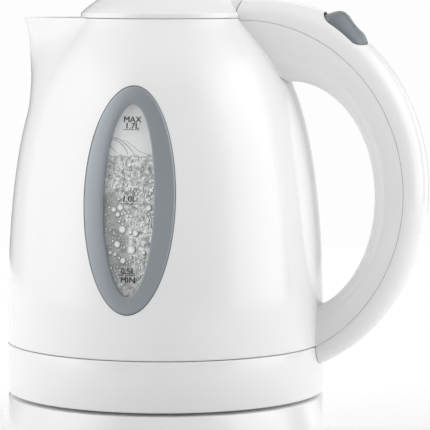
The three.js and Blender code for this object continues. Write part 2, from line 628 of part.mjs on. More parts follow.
function baseCover() {
  const b = BASE;
  const hole = COLLAR.outer + 0.4;
  const ceiling = b.topZ - b.wall;
  const outline = [...baseOutside(), [hole, b.topZ], [hole, ceiling], [b.topR - b.wall - 1.5, ceiling],
    [b.wideR - b.wall, b.wideZ + 1], [b.lowR - b.wall + 0.6, b.lowZ]];
  let cover = solid(ringOf(outline, 56));
  for (const degrees of BASE_SCREWS.angles) {
    const [x, y] = onCircle(BASE_SCREWS.circle, degrees);
    const post = rod(BASE_SCREWS.bossR, PLATE.z + PLATE.thick + GAP, b.topZ - 1).translate(x, y, 0);
    cover = cover.add(solid(post)).subtract(solid(rod(SCREW.r + 0.4, 0, 15, 12).translate(x, y, 0)));
  }
  return cover.subtract(solid(crossRod(GLAND.r + GAP, 12, 20).translate(0, 84, GLAND.z)));
}

function basePlate() {
  let plate = solid(rod(PLATE.r, PLATE.z, PLATE.z + PLATE.thick, 60));
  for (const degrees of BASE_SCREWS.angles) {
    const [x, y] = onCircle(BASE_SCREWS.circle, degrees);
    plate = plate.subtract(solid(rod(SCREW.headR + 0.5, 0, PLATE.z + 1.3).translate(x, y, 0)));
    plate = plate.subtract(solid(rod(SCREW.r + 0.5, 0, 10, 12).translate(x, y, 0)));
  }
  return plate;
}

function socketTower() {
  const t = TOWER;
  const seat = COLLAR.bottomZ - GAP;
  return ringOf([[t.bore, t.flangeZ], [t.flangeR, t.flangeZ], [t.flangeR, seat], [t.r, seat],
    [t.r, t.topZ - 1], [t.r - 1, t.topZ], [t.grooveOut, t.topZ], [t.grooveOut, t.grooveZ],
    [t.grooveIn, t.grooveZ], [t.grooveIn, t.topZ], [t.bore, t.topZ]], 28);
}

function cordGland() {
  const g = GLAND;
  const length = g.outY - g.inY;
  const outline = [[g.bore, 0], [g.flangeR, 0], [g.flangeR, g.flangeThick], [g.r, g.flangeThick],
    [g.r, length], [g.bore, length]];
  return ringOf(outline, 20).rotateX(-Math.PI / 2).translate(0, g.inY, g.z);
}

// ---- Assembly -------------------------------------------------------------------------------------
const kettle = new THREE.Group();
const [powerBase, jug, lid, rocker] = [0, 1, 2, 3].map(() => new THREE.Group());
kettle.add(powerBase, jug);
jug.add(lid, rocker);
kettle.position.x = -BOX_CENTRE_X;

function addPowerBase(group) {
  const m = MATERIALS;
  piece(group, "base_cover", baseCover(), m.white);
  piece(group, "base_bottom_plate", basePlate(), m.white);
  piece(group, "base_socket_tower", socketTower(), m.black);
  const { inner, outer, bottomZ, topZ } = COLLAR;
  piece(group, "swivel_collar", washer(inner, outer, bottomZ, topZ, 40), m.grey);
  piece(group, "cord_gland", cordGland(), m.grey);
  for (let i = 0; i < FOOT.count; i += 1) {
    const [x, y] = onCircle(FOOT.circle, 45 + (360 / FOOT.count) * i);
    piece(group, `base_foot_${i + 1}`, rod(FOOT.r, 0, FOOT.height, 20).translate(x, y, 0), m.rubber);
  }
  BASE_SCREWS.angles.forEach((degrees, i) => {
    piece(group, `base_screw_${i + 1}`, screw(PLATE.z - 0.1, 13, BASE_SCREWS.circle, degrees), m.steel);
  });
}

function addJug(group) {
  const m = MATERIALS;
  piece(group, "body_shell", bodyShell(), m.white);
  piece(group, "handle_grip", handleGrip(), m.white);
  piece(group, "handle_cover", handleCover(), m.white);
  piece(group, "bottom_housing", bottomHousing(), m.white);
  piece(group, "front_window_bezel", windowBezel(-1), m.grey);
  piece(group, "front_window_lens", windowLens(-1), m.lens);
  piece(group, "rear_window_bezel", windowBezel(1), m.grey);
  piece(group, "rear_window_lens", windowLens(1), m.lens);
  piece(group, "spout_filter", spoutFilter(), m.mesh);
  piece(group, "heating_plate", rod(HEATER.r, HEATER.z, HEATER.z + HEATER.thick, 60), m.steel);
  piece(group, "plate_seal", washer(SEAL.inner, SEAL.outer, SEAL.bottomZ, SEAL.topZ, 48), m.silicone);
  piece(group, "plate_clamp_ring", washer(CLAMP.inner, CLAMP.outer, CLAMP.bottomZ, CLAMP.topZ, 48), m.steel);
  piece(group, "heat_diffuser", rod(DIFFUSER.r, DIFFUSER.bottomZ, DIFFUSER.topZ, 48), m.aluminium);
  piece(group, "heating_element", heatingElement(), m.steel);
  piece(group, "thermostat_control", thermostatControl(), m.black);
  piece(group, "appliance_inlet", applianceInlet(), m.black);
  const { pinR, ringInner, ringOuter, bottomZ } = CONTACTS;
  piece(group, "inlet_pin", rod(pinR, bottomZ, INLET.roof - GAP, 14), m.brass);
  piece(group, "inlet_ring", washer(ringInner, ringOuter, bottomZ, INLET.roof - GAP, 28), m.brass);
  BOSS.angles.forEach((degrees, i) => {
    piece(group, `housing_screw_${i + 1}`, screw(RING.bottomZ + 0.1, 36, BOSS.circle, degrees), m.steel);
  });
  piece(group, "lid_hinge_pin", lidPin(), m.steel);
  piece(group, "steam_duct", steamDuct(), m.silicone);
  piece(group, "steam_bimetal", bimetalDisc(), m.steel);
  piece(group, "switch_body", switchBody(), m.black);
  piece(group, "rocker_pin", rockerPin(), m.steel);
}

function addRocker(group) {
  piece(group, "rocker_switch", rockerSwitch(), MATERIALS.grey);
  piece(group, "indicator_lens", indicatorLens(), MATERIALS.lens);
}

function addLid(group) {
  const m = MATERIALS;
  piece(group, "lid_shell", lidShell(), m.white);
  piece(group, "lid_liner", lidLiner(), m.white);
  piece(group, "button_spring", buttonSpring(), m.steel);
  piece(group, "lid_button", lidButton(), m.white);
  piece(group, "lid_latch", lidLatch(), m.white);
}

addPowerBase(powerBase);
addJug(jug);
addRocker(rocker);
addLid(lid);

export default kettle;
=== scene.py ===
"""Looks of a cordless electric kettle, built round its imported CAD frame.

Shapes are worked out in millimetres from the jug's own axis and the table, and `placed` moves them
to the frame's metres. The spout points along -X, the handle along +X, and up is +Z."""

import math

import bmesh
import bpy
import numpy as np
from mathutils import Matrix, Vector


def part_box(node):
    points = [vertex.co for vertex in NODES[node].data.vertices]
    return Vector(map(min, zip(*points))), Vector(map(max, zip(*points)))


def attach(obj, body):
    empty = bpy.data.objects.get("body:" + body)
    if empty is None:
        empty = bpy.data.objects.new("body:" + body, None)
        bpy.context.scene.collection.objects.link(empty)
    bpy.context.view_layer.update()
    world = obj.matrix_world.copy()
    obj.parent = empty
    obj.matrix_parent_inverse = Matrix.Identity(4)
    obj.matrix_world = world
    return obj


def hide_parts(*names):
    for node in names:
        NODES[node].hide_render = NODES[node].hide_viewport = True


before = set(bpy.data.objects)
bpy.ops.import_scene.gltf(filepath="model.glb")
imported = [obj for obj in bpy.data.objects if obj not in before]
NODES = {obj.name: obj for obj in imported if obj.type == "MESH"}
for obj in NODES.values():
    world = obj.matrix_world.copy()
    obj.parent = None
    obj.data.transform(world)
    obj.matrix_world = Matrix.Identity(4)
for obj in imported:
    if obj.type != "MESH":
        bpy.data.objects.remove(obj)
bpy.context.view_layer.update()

MM = 0.001
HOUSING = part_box("bottom_housing")
AXIS_X = (HOUSING[0].x + HOUSING[1].x) / 2  # the jug's axis in the frame
GAP = 0.3  # clearance round one piece where it stands in another

# ---- Driving dimensions, as in the CAD source ------------------------------------------------------
JUG_R, JUG_BOTTOM, RIM_Z, RIM_R, WALL = 78.0, 47.6, 206.0, 41.4, 2.5
SPOUT_HALF, SPOUT_START, SPOUT_WALL = 0.663, 161.0, 3.0  # half angle, foot of the spout, thickness
KEEL_R, KEEL_SLOPE, LIP_Z, LIP_FLARE = 66.8, 0.1, 194, 0.0175  # the spout's front edge, and its lip
LEDGE_BOTTOM, LEDGE_TOP, LEDGE_BORE = 56.0, 58.5, 58.0
WINDOW_Z, BEZEL_X, BEZEL_Z, LENS_X, LENS_Z = 122.2, 21.9, 53.0, 12.3, 44.5
CREST = (48.64, 123.87, 81.76, 92.21)
PARTING = (41.8, 121.7, 77.85, 83.34)
GRIP = (64.54, 119.66, 40.64, 55.97)
HANDLE_HALF, HANDLE_TAPER, HANDLE_TOP, HANDLE_END = 12.3, 0.95, 1.75, -1.33
SWITCH_X, SWITCH_Z, SWITCH_SLOPE = 91.0, 202.74, -0.616
ROCKER_LOW, ROCKER_HIGH, ROCKER_TOP_HALF, ROCKER_LOW_HALF, ROCKER_CORNER = -12.3, 12.8, 8.4, 9.3, 5.8
CROWN_HALF, CROWN_DEPTH, HUMP_FALL, WELL_MARGIN = 13.1, 13.2, 0.75, 0.6
LID_R, DOME_R, DOME_Z, LID_WALL = 41.3, 61.7, 162.8, 2.2
HINGE_X, HINGE_Z, TAIL_HALF, SLOT_HALF = 44.5, 209.5, 5.6, 6.1
FRONT_R, BRIDGE_R = 40.2, 39.7  # the cover's front edge, and the lid's back that meets it
CREST_START = HANDLE_TOP + 0.3  # angle past the cover's end, where what meets it begins
FOOT_LOW, FOOT_HIGH = 23.1, 47.3  # the foot ring under the jug
BASE_TOP, BASE_INNER, BASE_BORE, BASE_R = 21.5, 19.1, 20.5, 81.5

SMOOTH_ANGLE = math.radians(32)


# ---- Mesh helpers ----------------------------------------------------------------------------------
def placed(points):
    """Millimetres about the jug's axis to metres in the frame."""
    return np.asarray(points, float).reshape(-1, 3) * MM + [AXIS_X, 0, 0]


def new_object(name, points, faces, material=None):
    mesh = bpy.data.meshes.new(name)
    mesh.from_pydata([tuple(p) for p in placed(points)], [], faces)
    mesh.validate()
    obj = bpy.data.objects.new(name, mesh)
    bpy.context.scene.collection.objects.link(obj)
    if material:
        mesh.materials.append(material)
    smooth(obj)
    return obj


def smooth(obj, angle=SMOOTH_ANGLE):
    obj.data.shade_smooth()
    obj.data.set_sharp_from_angle(angle=angle)


def grid_faces(rows, columns, wrap_rows=False, wrap_columns=False):
    faces = []
    for i in range(rows if wrap_rows else rows - 1):
        for j in range(columns if wrap_columns else columns - 1):
            a, b = i, (i + 1) % rows
            c, d = j, (j + 1) % columns
            faces.append((a * columns + c, a * columns + d, b * columns + d, b * columns + c))
    return faces


def closed_faces(rows, around):
    """Faces over rows of rings; the points after them close the first ring and the last one."""
    count = rows * around
    last = count - around
    faces = grid_faces(rows, around, False, True)
    faces += [(count, (j + 1) % around, j) for j in range(around)]
    faces += [(count + 1, last + j, last + (j + 1) % around) for j in range(around)]
    return faces


def rounded(points, steps=4):
    """A profile with its corners rounded: each point is (r, z) or (r, z, radius)."""
    out = []
    for i, p in enumerate(points):
        radius = p[2] if len(p) > 2 else 0
        here = np.array(p[:2], float)
        if radius <= 0:
            out.append(here)
            continue
        before = np.array(points[i - 1][:2], float) - here
        after = np.array(points[(i + 1) % len(points)][:2], float) - here
        u, v = before / np.linalg.norm(before), after / np.linalg.norm(after)
        half = math.acos(np.clip(u @ v, -1, 1)) / 2
        reach = min(radius / math.tan(half), np.linalg.norm(before) * 0.49, np.linalg.norm(after) * 0.49)
        centre = here + (u + v) / np.linalg.norm(u + v) * reach / math.cos(half)
        start, end = here + u * reach - centre, here + v * reach - centre
        span = math.atan2(start[0] * end[1] - start[1] * end[0], start @ end)
        for k in range(steps + 1):
            turn = span * k / steps
            c, s = math.cos(turn), math.sin(turn)
            out.append(centre + [c * start[0] - s * start[1], s * start[0] + c * start[1]])
    return np.array(out)


def revolve(name, profile, material=None, segments=160, warp=None):
    """A closed solid of revolution. The profile runs anticlockwise, and ends on the axis or closes."""
    profile = np.asarray(profile, float)
    solid = profile[0][0] < 1e-6
    rings = profile[1:-1] if solid else profile
    even = np.linspace(0, 2 * math.pi, segments, endpoint=False)
    r, z = rings[:, 0][:, None], rings[:, 1][:, None]
    if warp:
        x, y, height = warp(r, z, even[None, :] - math.pi)
    else:
        x, y, height = r * np.cos(even), r * np.sin(even), np.broadcast_to(z, (len(rings), segments))
    points = np.stack([x, y, height], 2).reshape(-1, 3)
    if not solid:
        return new_object(name, points, grid_faces(len(rings), segments, True, True), material)
    points = np.vstack([points, [0, 0, profile[0][1]], [0, 0, profile[-1][1]]])
    return new_object(name, points, closed_faces(len(rings), segments), material)


def block(name, low, high):
    """A plain box, for cutting."""
    (x0, y0, z0), (x1, y1, z1) = low, high
    points = [(x, y, z) for x in (x0, x1) for y in (y0, y1) for z in (z0, z1)]
    faces = [(0, 1, 3, 2), (4, 6, 7, 5), (0, 4, 5, 1), (2, 3, 7, 6), (0, 2, 6, 4), (1, 5, 7, 3)]
    return new_object(name, points, faces)


def cylinder(name, radius, low, high, segments=160):
    """A solid cylinder about the jug's axis, for cutting."""
    return revolve(name, [(0, low), (radius, low), (radius, high), (0, high)], None, segments)


def bend(x, z, radius, start, end, steps):
    """Points along a circle's arc, seen along Y."""
    return [(x + radius * math.cos(a), z + radius * math.sin(a)) for a in np.linspace(start, end, steps)]


def circle(x, z, radius, steps):
    """Points all round a circle, seen along Y."""
    return bend(x, z, radius, 0, 2 * math.pi, steps + 1)[:-1]


def prism(name, outline, place, low, high):
    """An outline of (u, v) points pushed from low to high; place(u, v, w) gives each point."""
    n = len(outline)
    points = [place(u, v, w) for w in (low, high) for u, v in outline]
    faces = [tuple(range(n))[::-1], tuple(range(n, 2 * n))]
    faces += [(i, (i + 1) % n, n + (i + 1) % n, n + i) for i in range(n)]
    return new_object(name, points, faces)


def sweep(name, sections, material=None):
    """A closed bar through equal rings of points."""
    count = len(sections[0])
    points = np.concatenate(sections)
    faces = grid_faces(len(sections), count, False, True)
    last = (len(sections) - 1) * count
    faces += [tuple(range(count))[::-1], tuple(range(last, last + count))]
    return new_object(name, points, faces, material)


def merged(parts):
    """One list of points and one of faces, out of several pairs of them."""
    points, faces = [], []
    for some_points, some_faces in parts:
        faces += [tuple(i + len(points) for i in f) for f in some_faces]
        points += list(some_points)
    return points, faces


def outward(obj):
    bm = bmesh.new()
    bm.from_mesh(obj.data)
    bmesh.ops.recalc_face_normals(bm, faces=bm.faces)
    bm.to_mesh(obj.data)
    bm.free()
    return obj


def combine(target, others, operation):
    """Joins solids to the target, or cuts them out of it, and removes them."""
    outward(target)
    for other in others:
        outward(other)
        step = target.modifiers.new("step", "BOOLEAN")
        step.operation, step.solver, step.object = operation, "MANIFOLD", other
    shown = target.evaluated_get(bpy.context.evaluated_depsgraph_get())
    mesh = bpy.data.meshes.new_from_object(shown)
    target.modifiers.clear()
    target.data = mesh
    for other in others:
        bpy.data.objects.remove(other)
    smooth(target)
    return target


def cut(target, *others):
    return combine(target, others, "DIFFERENCE")


def join(target, *others):
    return combine(target, others, "UNION")


def shared(target, other):
    return combine(target, (other,), "INTERSECT")


def show(obj, body, slot, *nodes):
    """The piece rides on a body and stands for CAD nodes, which it hides. The slot is not used."""
    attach(obj, body)
    if nodes:
        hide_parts(*nodes)
    return obj


# ---- Materials -------------------------------------------------------------------------------------
class Nodes:
    """Short ways to add nodes to a tree and to link or set their sockets."""

    tree = None

    def add(self, kind, **settings):
        node = self.tree.nodes.new(kind)
        for key, value in settings.items():
            setattr(node, key, value)
        return node

    def link(self, a, b):
        self.tree.links.new(a, b)

    def put(self, value, socket):
        """Links an output to the socket, or sets the socket to a plain number."""
        if not isinstance(value, (int, float)):
            self.link(value, socket)
        elif socket.type == "RGBA":
            socket.default_value = (value, value, value, 1)
        else:
            socket.default_value = value

    def ramp(self, fac, *stops):
        """A colour ramp; each stop is a position and either a colour or one grey level."""
        node = self.add("ShaderNodeValToRGB")
        ramp = node.color_ramp
        while len(ramp.elements) < len(stops):
            ramp.elements.new(0.5)
        for element, (position, colour) in zip(ramp.elements, stops):
            element.position = position
            element.color = (*colour, 1) if len(colour) == 3 else (*colour * 3, 1)
        self.link(fac, node.inputs["Fac"])
        return node.outputs["Color"]

    def facing(self, coords):
        """Coordinates turned about Z, so that Y points away from the main view."""
        turned = self.add("ShaderNodeMapping")
        turned.inputs["Rotation"].default_value = (0, 0, math.radians(-CAMERA["azimuth"]))
        self.link(coords, turned.inputs["Vector"])
        split = self.add("ShaderNodeSeparateXYZ")
        self.link(turned.outputs["Vector"], split.inputs["Vector"])
        return split


class Shader(Nodes):
    """A Principled material with short ways to add noise-driven colour, roughness and bump."""

    def __init__(self, name, **sockets):
        self.material = bpy.data.materials.new(name)
        self.material.use_nodes = True
        self.tree = self.material.node_tree
        self.main = self.tree.nodes["Principled BSDF"]
        self.coords = self.add("ShaderNodeTexCoord").outputs["Object"]
        for key, value in sockets.items():
            self.main.inputs[key.replace("_", " ")].default_value = value

    def noise(self, scale, detail=3.0, stretch=(1, 1, 1)):
        mapping = self.add("ShaderNodeMapping")
        mapping.inputs["Scale"].default_value = stretch
        self.link(self.coords, mapping.inputs["Vector"])
        node = self.add("ShaderNodeTexNoise")
        node.inputs["Scale"].default_value = scale
        node.inputs["Detail"].default_value = detail
        self.link(mapping.outputs["Vector"], node.inputs["Vector"])
        return node.outputs["Fac"]

    def colour(self, fac, low, high, start=0.3, end=0.7):
        self.link(self.ramp(fac, (start, low), (end, high)), self.main.inputs["Base Color"])

    def rough(self, fac, low, high, start=0.3, end=0.7):
        self.link(self.ramp(fac, (start, (low,)), (end, (high,))), self.main.inputs["Roughness"])

    def bump(self, fac, strength, depth):
        node = self.add("ShaderNodeBump")
        node.inputs["Strength"].default_value = strength
        node.inputs["Distance"].default_value = depth
        self.link(fac, node.inputs["Height"])
        self.link(node.outputs["Normal"], self.main.inputs["Normal"])


def plastic(name, low, high, rough, grain, depth, **sockets):
    """Moulded plastic: a faint drift in tone and gloss, and a fine moulded grain."""
    s = Shader(name, **sockets)
    s.colour(s.noise(14, 4), low, high)
    s.rough(s.noise(45, 5), rough * 0.85, rough * 1.15)
    s.bump(s.noise(grain, 2), 0.25, depth)
    return s.material


def metal(name, low, high, rough, stretch):
    """Drawn or turned metal: fine lines along one way and uneven polish."""
    s = Shader(name, Metallic=1.0)
    lines = s.noise(600, 4, stretch)
    s.colour(s.noise(30, 4), low, high)
    s.rough(lines, rough * 0.7, rough * 1.4)
    s.bump(lines, 0.35, 0.00004)
    return s.material


def make_materials():
    m = {}
    m["white"] = plastic("white_gloss", (0.868, 0.87, 0.866), (0.885, 0.886, 0.884), 0.13, 900, 0.00001,
                         Coat_Weight=0.5, Coat_Roughness=0.03)
    m["inside"] = plastic("white_satin", (0.80, 0.80, 0.79), (0.83, 0.83, 0.82), 0.38, 700, 0.00003)
    m["grey"] = plastic("slate_satin", (0.180, 0.206, 0.228), (0.198, 0.224, 0.246), 0.34, 1400, 0.00002)
    m["bezel"] = plastic("slate_bezel", (0.300, 0.330, 0.357), (0.318, 0.348, 0.375), 0.32, 1400, 0.00002,
                         Metallic=0.28)
    # Also colours the black bands of painted shade in the gaps round the rocker and at the lid's seam.
    m["black"] = plastic("black_nylon_and_gap_shade", (0.017, 0.017, 0.018), (0.028, 0.028, 0.03), 0.5, 1600, 0.00004)
    m["rubber"] = plastic("foot_rubber", (0.10, 0.10, 0.105), (0.14, 0.14, 0.145), 0.85, 800, 0.00006)
    m["silicone"] = plastic("silicone", (0.60, 0.59, 0.55), (0.66, 0.65, 0.61), 0.6, 500, 0.00004,
                            Subsurface_Weight=0.1)
    m["filter"] = plastic("filter_plastic", (0.70, 0.71, 0.70), (0.76, 0.77, 0.76), 0.45, 900, 0.00003)
    m["steel"] = metal("steel", (0.50, 0.51, 0.52), (0.60, 0.61, 0.62), 0.26, (1, 1, 14))
    m["plate"] = metal("brushed_plate", (0.52, 0.53, 0.54), (0.62, 0.63, 0.64), 0.3, (1, 22, 1))
    m["aluminium"] = metal("aluminium", (0.58, 0.59, 0.60), (0.66, 0.67, 0.68), 0.45, (3, 1, 1))
    m["brass"] = metal("brass", (0.60, 0.44, 0.20), (0.72, 0.55, 0.28), 0.3, (1, 1, 9))
    m["ink"] = plastic("mark_ink", (0.012, 0.012, 0.013), (0.02, 0.02, 0.021), 0.5, 2000, 0.00001)
    m["lens"] = lens_material()
    m["water"] = water_material()
    m["bubble"] = bubble_material()
    # The swell's dark edge lines are painted shade, where bent light darkens the clear water's edges.
    m["swell"] = plastic("swell_edge", (0.10, 0.105, 0.10), (0.26, 0.265, 0.26), 0.3, 900, 0.00002)
    return m


def lens_material():
    """Clear plastic, thin enough not to bend what is behind it: it lets light by, and shines at a slant."""
    s = Shader("clear_lens")
    out = s.tree.nodes["Material Output"]
    clear = s.add("ShaderNodeBsdfTransparent")
    clear.inputs["Color"].default_value = (0.972, 0.976, 0.978, 1)
    shine = s.add("ShaderNodeBsdfGlossy")
    shine.inputs["Roughness"].default_value = 0.06
    slant = s.add("ShaderNodeLayerWeight")
    slant.inputs["Blend"].default_value = 0.5
    share = s.ramp(slant.outputs["Facing"], (0.0, (0.035,)), (0.6, (0.06,)), (0.85, (0.3,)), (1.0, (0.9,)))
    haze = s.add("ShaderNodeBump")
    haze.inputs["Strength"].default_value = 0.15
    haze.inputs["Distance"].default_value = 0.00002
    s.link(s.noise(260, 2), haze.inputs["Height"])
    s.link(haze.outputs["Normal"], shine.inputs["Normal"])
    mix = s.add("ShaderNodeMixShader")
    s.link(share, mix.inputs["Fac"])
    s.link(clear.outputs["BSDF"], mix.inputs[1])
    s.link(shine.outputs["BSDF"], mix.inputs[2])
    s.link(mix.outputs["Shader"], out.inputs["Surface"])
    s.tree.nodes.remove(s.main)
    return s.material


def blend(s, share, a, b):
    """A colour mix: a where share is 0, b where it is 1."""
    mix = s.add("ShaderNodeMix", data_type="RGBA")
    for socket, value in (("Factor", share), ("A", a), ("B", b)):
        s.put(value, mix.inputs[socket])
    return mix.outputs["Result"]


def water_material():
    """Clear above the waterline and churned below it, with a murky patch towards the spout.

    `depth` is millimetres under the line and `murk` the patch's strength. A glow stands for the light
    that comes through the far window."""
    s = Shader("boiling_water", Roughness=0.25, Emission_Strength=0.3)
    depth = s.add("ShaderNodeAttribute", attribute_name="depth")
    murk = s.add("ShaderNodeAttribute", attribute_name="murk")
    cells = s.add("ShaderNodeTexVoronoi", feature="SMOOTH_F1")
    cells.inputs["Scale"].default_value = 640
    s.link(s.coords, cells.inputs["Vector"])
    churn = s.ramp(cells.outputs["Distance"], (0.15, (0.90, 0.905, 0.90)), (0.4, (0.58, 0.585, 0.58)),
                   (0.62, (0.16, 0.165, 0.16)))
    streaks = s.ramp(s.noise(520, 6), (0.42, (0.22, 0.225, 0.22)), (0.57, (0.90, 0.905, 0.90)))
    froth = blend(s, 0.55, churn, streaks)
    dull = s.ramp(s.noise(190, 4), (0.35, (0.24, 0.245, 0.242)), (0.7, (0.44, 0.445, 0.44)))
    below = blend(s, murk.outputs["Fac"], froth, dull)
    scaled = s.add("ShaderNodeMath", operation="MULTIPLY_ADD")
    scaled.inputs[1].default_value, scaled.inputs[2].default_value = 0.05, 0.5
    s.link(depth.outputs["Fac"], scaled.inputs[0])
    height = scaled.outputs["Value"]
    surface = s.ramp(height, (0.44, (0.74, 0.745, 0.742)), (0.485, (0.68, 0.685, 0.68)),
                     (0.5, (0.28, 0.285, 0.28)), (0.52, (0.5, 0.505, 0.5)))
    under = s.ramp(height, (0.5, (0.0,)), (0.53, (1.0,)))
    tone = blend(s, under, surface, below)
    s.link(tone, s.main.inputs["Base Color"])
    s.link(tone, s.main.inputs["Emission Color"])
    s.bump(cells.outputs["Distance"], 0.5, 0.0003)
    return s.material


def bubble_material():
    """Bubbles against the wall, all in painted light: a pale middle, the painted dark rim that bent light
    would give, and a faint glow.

    `shade` runs from the middle to the rim, and further on the side away from the light, as painted shade."""
    s = Shader("bubbles", Roughness=0.12, Emission_Strength=0.22)
    shade = s.add("ShaderNodeAttribute", attribute_name="shade")
    tone = s.ramp(shade.outputs["Fac"], (0.3, (0.88, 0.885, 0.88)), (0.66, (0.64, 0.645, 0.64)),
                  (0.86, (0.20, 0.205, 0.20)), (1.0, (0.08, 0.085, 0.08)))
    s.link(tone, s.main.inputs["Base Color"])
    s.link(tone, s.main.inputs["Emission Color"])
    s.bump(s.noise(500, 2), 0.1, 0.00005)
    return s.material


M = make_materials()

# ---- The jug's outline and spout -------------------------------------------------------------------
t = np.linspace(0, 1, 400)[:, None]
CONTROL = np.array([(JUG_R, JUG_BOTTOM), (JUG_R, 181.8), (53.6, 186.0), (RIM_R, RIM_Z)])
OUTLINE = ((1 - t) ** 3 * CONTROL[0] + 3 * (1 - t) ** 2 * t * CONTROL[1]
           + 3 * (1 - t) * t ** 2 * CONTROL[2] + t ** 3 * CONTROL[3])


def jug_radius(z):
    return np.interp(z, OUTLINE[:, 1], OUTLINE[:, 0])


def soft_step(x, width):
    """max(0, x) with its corner rounded over a width."""
    return width * np.logaddexp(0, x / width)


def spout_reach(angle, z):
    """How far the spout stands out of the jug at an angle from -X, and at a height."""
    keel = KEEL_R + KEEL_SLOPE * (z - SPOUT_START) + LIP_FLARE * np.maximum(0, z - LIP_Z) ** 2
    reach = soft_step(keel - jug_radius(z), 0.5)
    rest = np.minimum(1, soft_step(1 - np.hypot(angle, 0.02) / SPOUT_HALF, 0.035))
    rise = np.clip((z - SPOUT_START) / (RIM_Z - SPOUT_START), 0, 1)
    return reach * rest * (0.31 + 0.69 * rest ** (0.2 + 1.4 * rise))


def spout_warp(inset):
    """Pulls the spout out of the jug's side, less an inset, and crowds the points towards it."""
    def warp(r, z, even):
        angle = even - 0.55 * np.sin(even)
        side = r > jug_radius(z) - 1.3
        out = r + side * np.maximum(0, spout_reach(angle, z) - inset)
        return -out * np.cos(angle), out * np.sin(angle), z + 0 * out
    return warp


def heights(low, high, count):
    """Heights that crowd towards the top."""
    share = np.sin(np.linspace(0, 1.35, count)) / math.sin(1.35)
    return low + (high - low) * share


def side(offset, low, high, count):
    z = heights(low, high, count)
    return [(jug_radius(v) + offset, v) for v in z]


def jug_space(name, offset, low, high, count=60, segments=180):
    """A solid as wide as the jug plus an offset, between two heights."""
    return revolve(name, [(0, low), *side(offset, low, high, count), (0, high)], None, segments)


# ---- The handle's rail -----------------------------------------------------------------------------
SIDE_FILLET, ROOT_FILLET = 0.4, 1.4  # where the grip runs into the jug's side
SEAM = 0.011  # the gap between the cover's edge and the grip, as a share of the cover's height


def on_ellipse(ellipse, angle):
    x, z, half_x, half_z = ellipse
    return np.array([x + half_x * np.cos(angle), z + half_z * np.sin(angle)])


def edge_point(edge, angle):
    return on_ellipse(edge, angle + 0.38 * np.sin(2 * angle) if edge is GRIP else angle)


def handle_half(angle):
    return HANDLE_HALF + HANDLE_TAPER * math.sin(angle)


def handle_points(edge, section, angle, rooted=False):
    """The section's (across, out, normal across, normal out) points at one place along the handle."""
    start, end = on_ellipse(PARTING, angle), edge_point(edge, angle)
    half, thick = handle_half(angle), np.linalg.norm(end - start)
    points = rail(section[:, 0], section[:, 1], start, end, half)
    if rooted:
        share = np.clip((section[:, 1] - 0.4) / 0.55, 0, 1)
        fillet = SIDE_FILLET + (ROOT_FILLET - SIDE_FILLET) * share * share * (3 - 2 * share)
        away = np.hypot(points[:, 0], points[:, 1]) - jug_radius(points[:, 2])
        inside = np.clip(fillet - away, 0, fillet)
        flare = fillet - np.sqrt(fillet ** 2 - inside ** 2)
        across = section[:, 0] + section[:, 2] * flare / half
        out = section[:, 1] + section[:, 3] * flare / thick
        points = rail(across, out, start, end, half)
    return points


def rail(across, out, start, end, half):
    x = start[0] + (end[0] - start[0]) * out
    z = start[1] + (end[1] - start[1]) * out
    return np.stack([x, across * half, z], 1)


def arc(centre, half_a, half_o, start, end, steps):
    """Points and normals along an ellipse's arc, in the section's own units."""
    angle = np.linspace(start, end, steps)
    c, s = np.cos(angle), np.sin(angle)
    return np.stack([centre[0] + half_a * c, centre[1] + half_o * s, c, s], 1)


def channel_section(inner=0.82):
    """The grip: straight sides and rounded corners, open towards the cover."""
    outer = np.vstack([
        [[0.982, 0.0, 0, 0], [0.995, 0.004, 0, 0], [1.0, 0.018, 1, 0], [1.0, 0.2, 1, 0], [1.0, 0.36, 1, 0]],
        arc((0.5, 0.5), 0.5, 0.5, 0, math.pi / 2, 12),
        [[0.25, 1, 0, 1], [0, 1, 0, 1], [-0.25, 1, 0, 1]],
        arc((-0.5, 0.5), 0.5, 0.5, math.pi / 2, math.pi, 12),
        [[-1.0, 0.36, -1, 0], [-1.0, 0.2, -1, 0], [-1.0, 0.018, -1, 0], [-0.995, 0.004, 0, 0],
         [-0.982, 0.0, 0, 0]]])
    half = 0.5 * inner
    left = arc((-half, half), half, half, math.pi, math.pi / 2, 6)
    right = arc((half, half), half, half, math.pi / 2, 0, 6)
    hollow = np.vstack([[[-inner, 0, 0, 0]], left, right, [[inner, 0, 0, 0]]])
    hollow[:, 2:] = 0
    return np.vstack([outer, hollow])


def cover_section(inner=0.82, seam=SEAM):
    """The cover: half an ellipse with a rounded edge at the seam, and its hollow."""
    first = 0.045
    outer = np.vstack([
        [[0.982, seam, 0, 0], [0.994, seam + 0.006, 0, 0]],
        arc((0, seam), 1, 1 - seam, first, math.pi - first, 48),
        [[-0.994, seam + 0.006, 0, 0], [-0.982, seam, 0, 0]]])
    hollow = arc((0, seam), inner, inner - seam, math.pi, 0, 20)
    return np.vstack([outer, hollow])


def solid_section(share=0.997):
    """The space inside the cover's skin, a hair under its surface, and on down past the seam."""
    top = arc((0, SEAM), share, share - SEAM, 0, math.pi, 48)
    return np.vstack([[[share, -0.6, 0, 0]], top, [[-share, -0.6, 0, 0]]])


def bar(name, edge, section, start, end, steps, rooted=False):
    angles = np.linspace(start, end, steps)
    return sweep(name, [handle_points(edge, section, a, rooted) for a in angles])


# ---- Jug -------------------------------------------------------------------------------------------
def along_y(u, v, w):
    return u, w, v


def window_hole(u, v, w):
    """A unit circle's point to the edge of the hole for the window's frame."""
    return u * (BEZEL_X + GAP), w, WINDOW_Z + v * (BEZEL_Z + GAP)


RIM_SOFT = 0.3  # the rim's rounding


def body_outline():
    rim = [(jug_radius(RIM_Z) - RIM_SOFT * (1 - math.cos(a)), RIM_Z - RIM_SOFT + RIM_SOFT * math.sin(a))
           for a in np.linspace(0.25, math.pi / 2, 5)]
    foot = rounded([(0, JUG_BOTTOM), (JUG_R, JUG_BOTTOM, 0.7), (JUG_R, 60)])[:-1]
    return [*foot, *side(0, JUG_BOTTOM + 1.2, RIM_Z - RIM_SOFT, 110), *rim, (0, RIM_Z)]


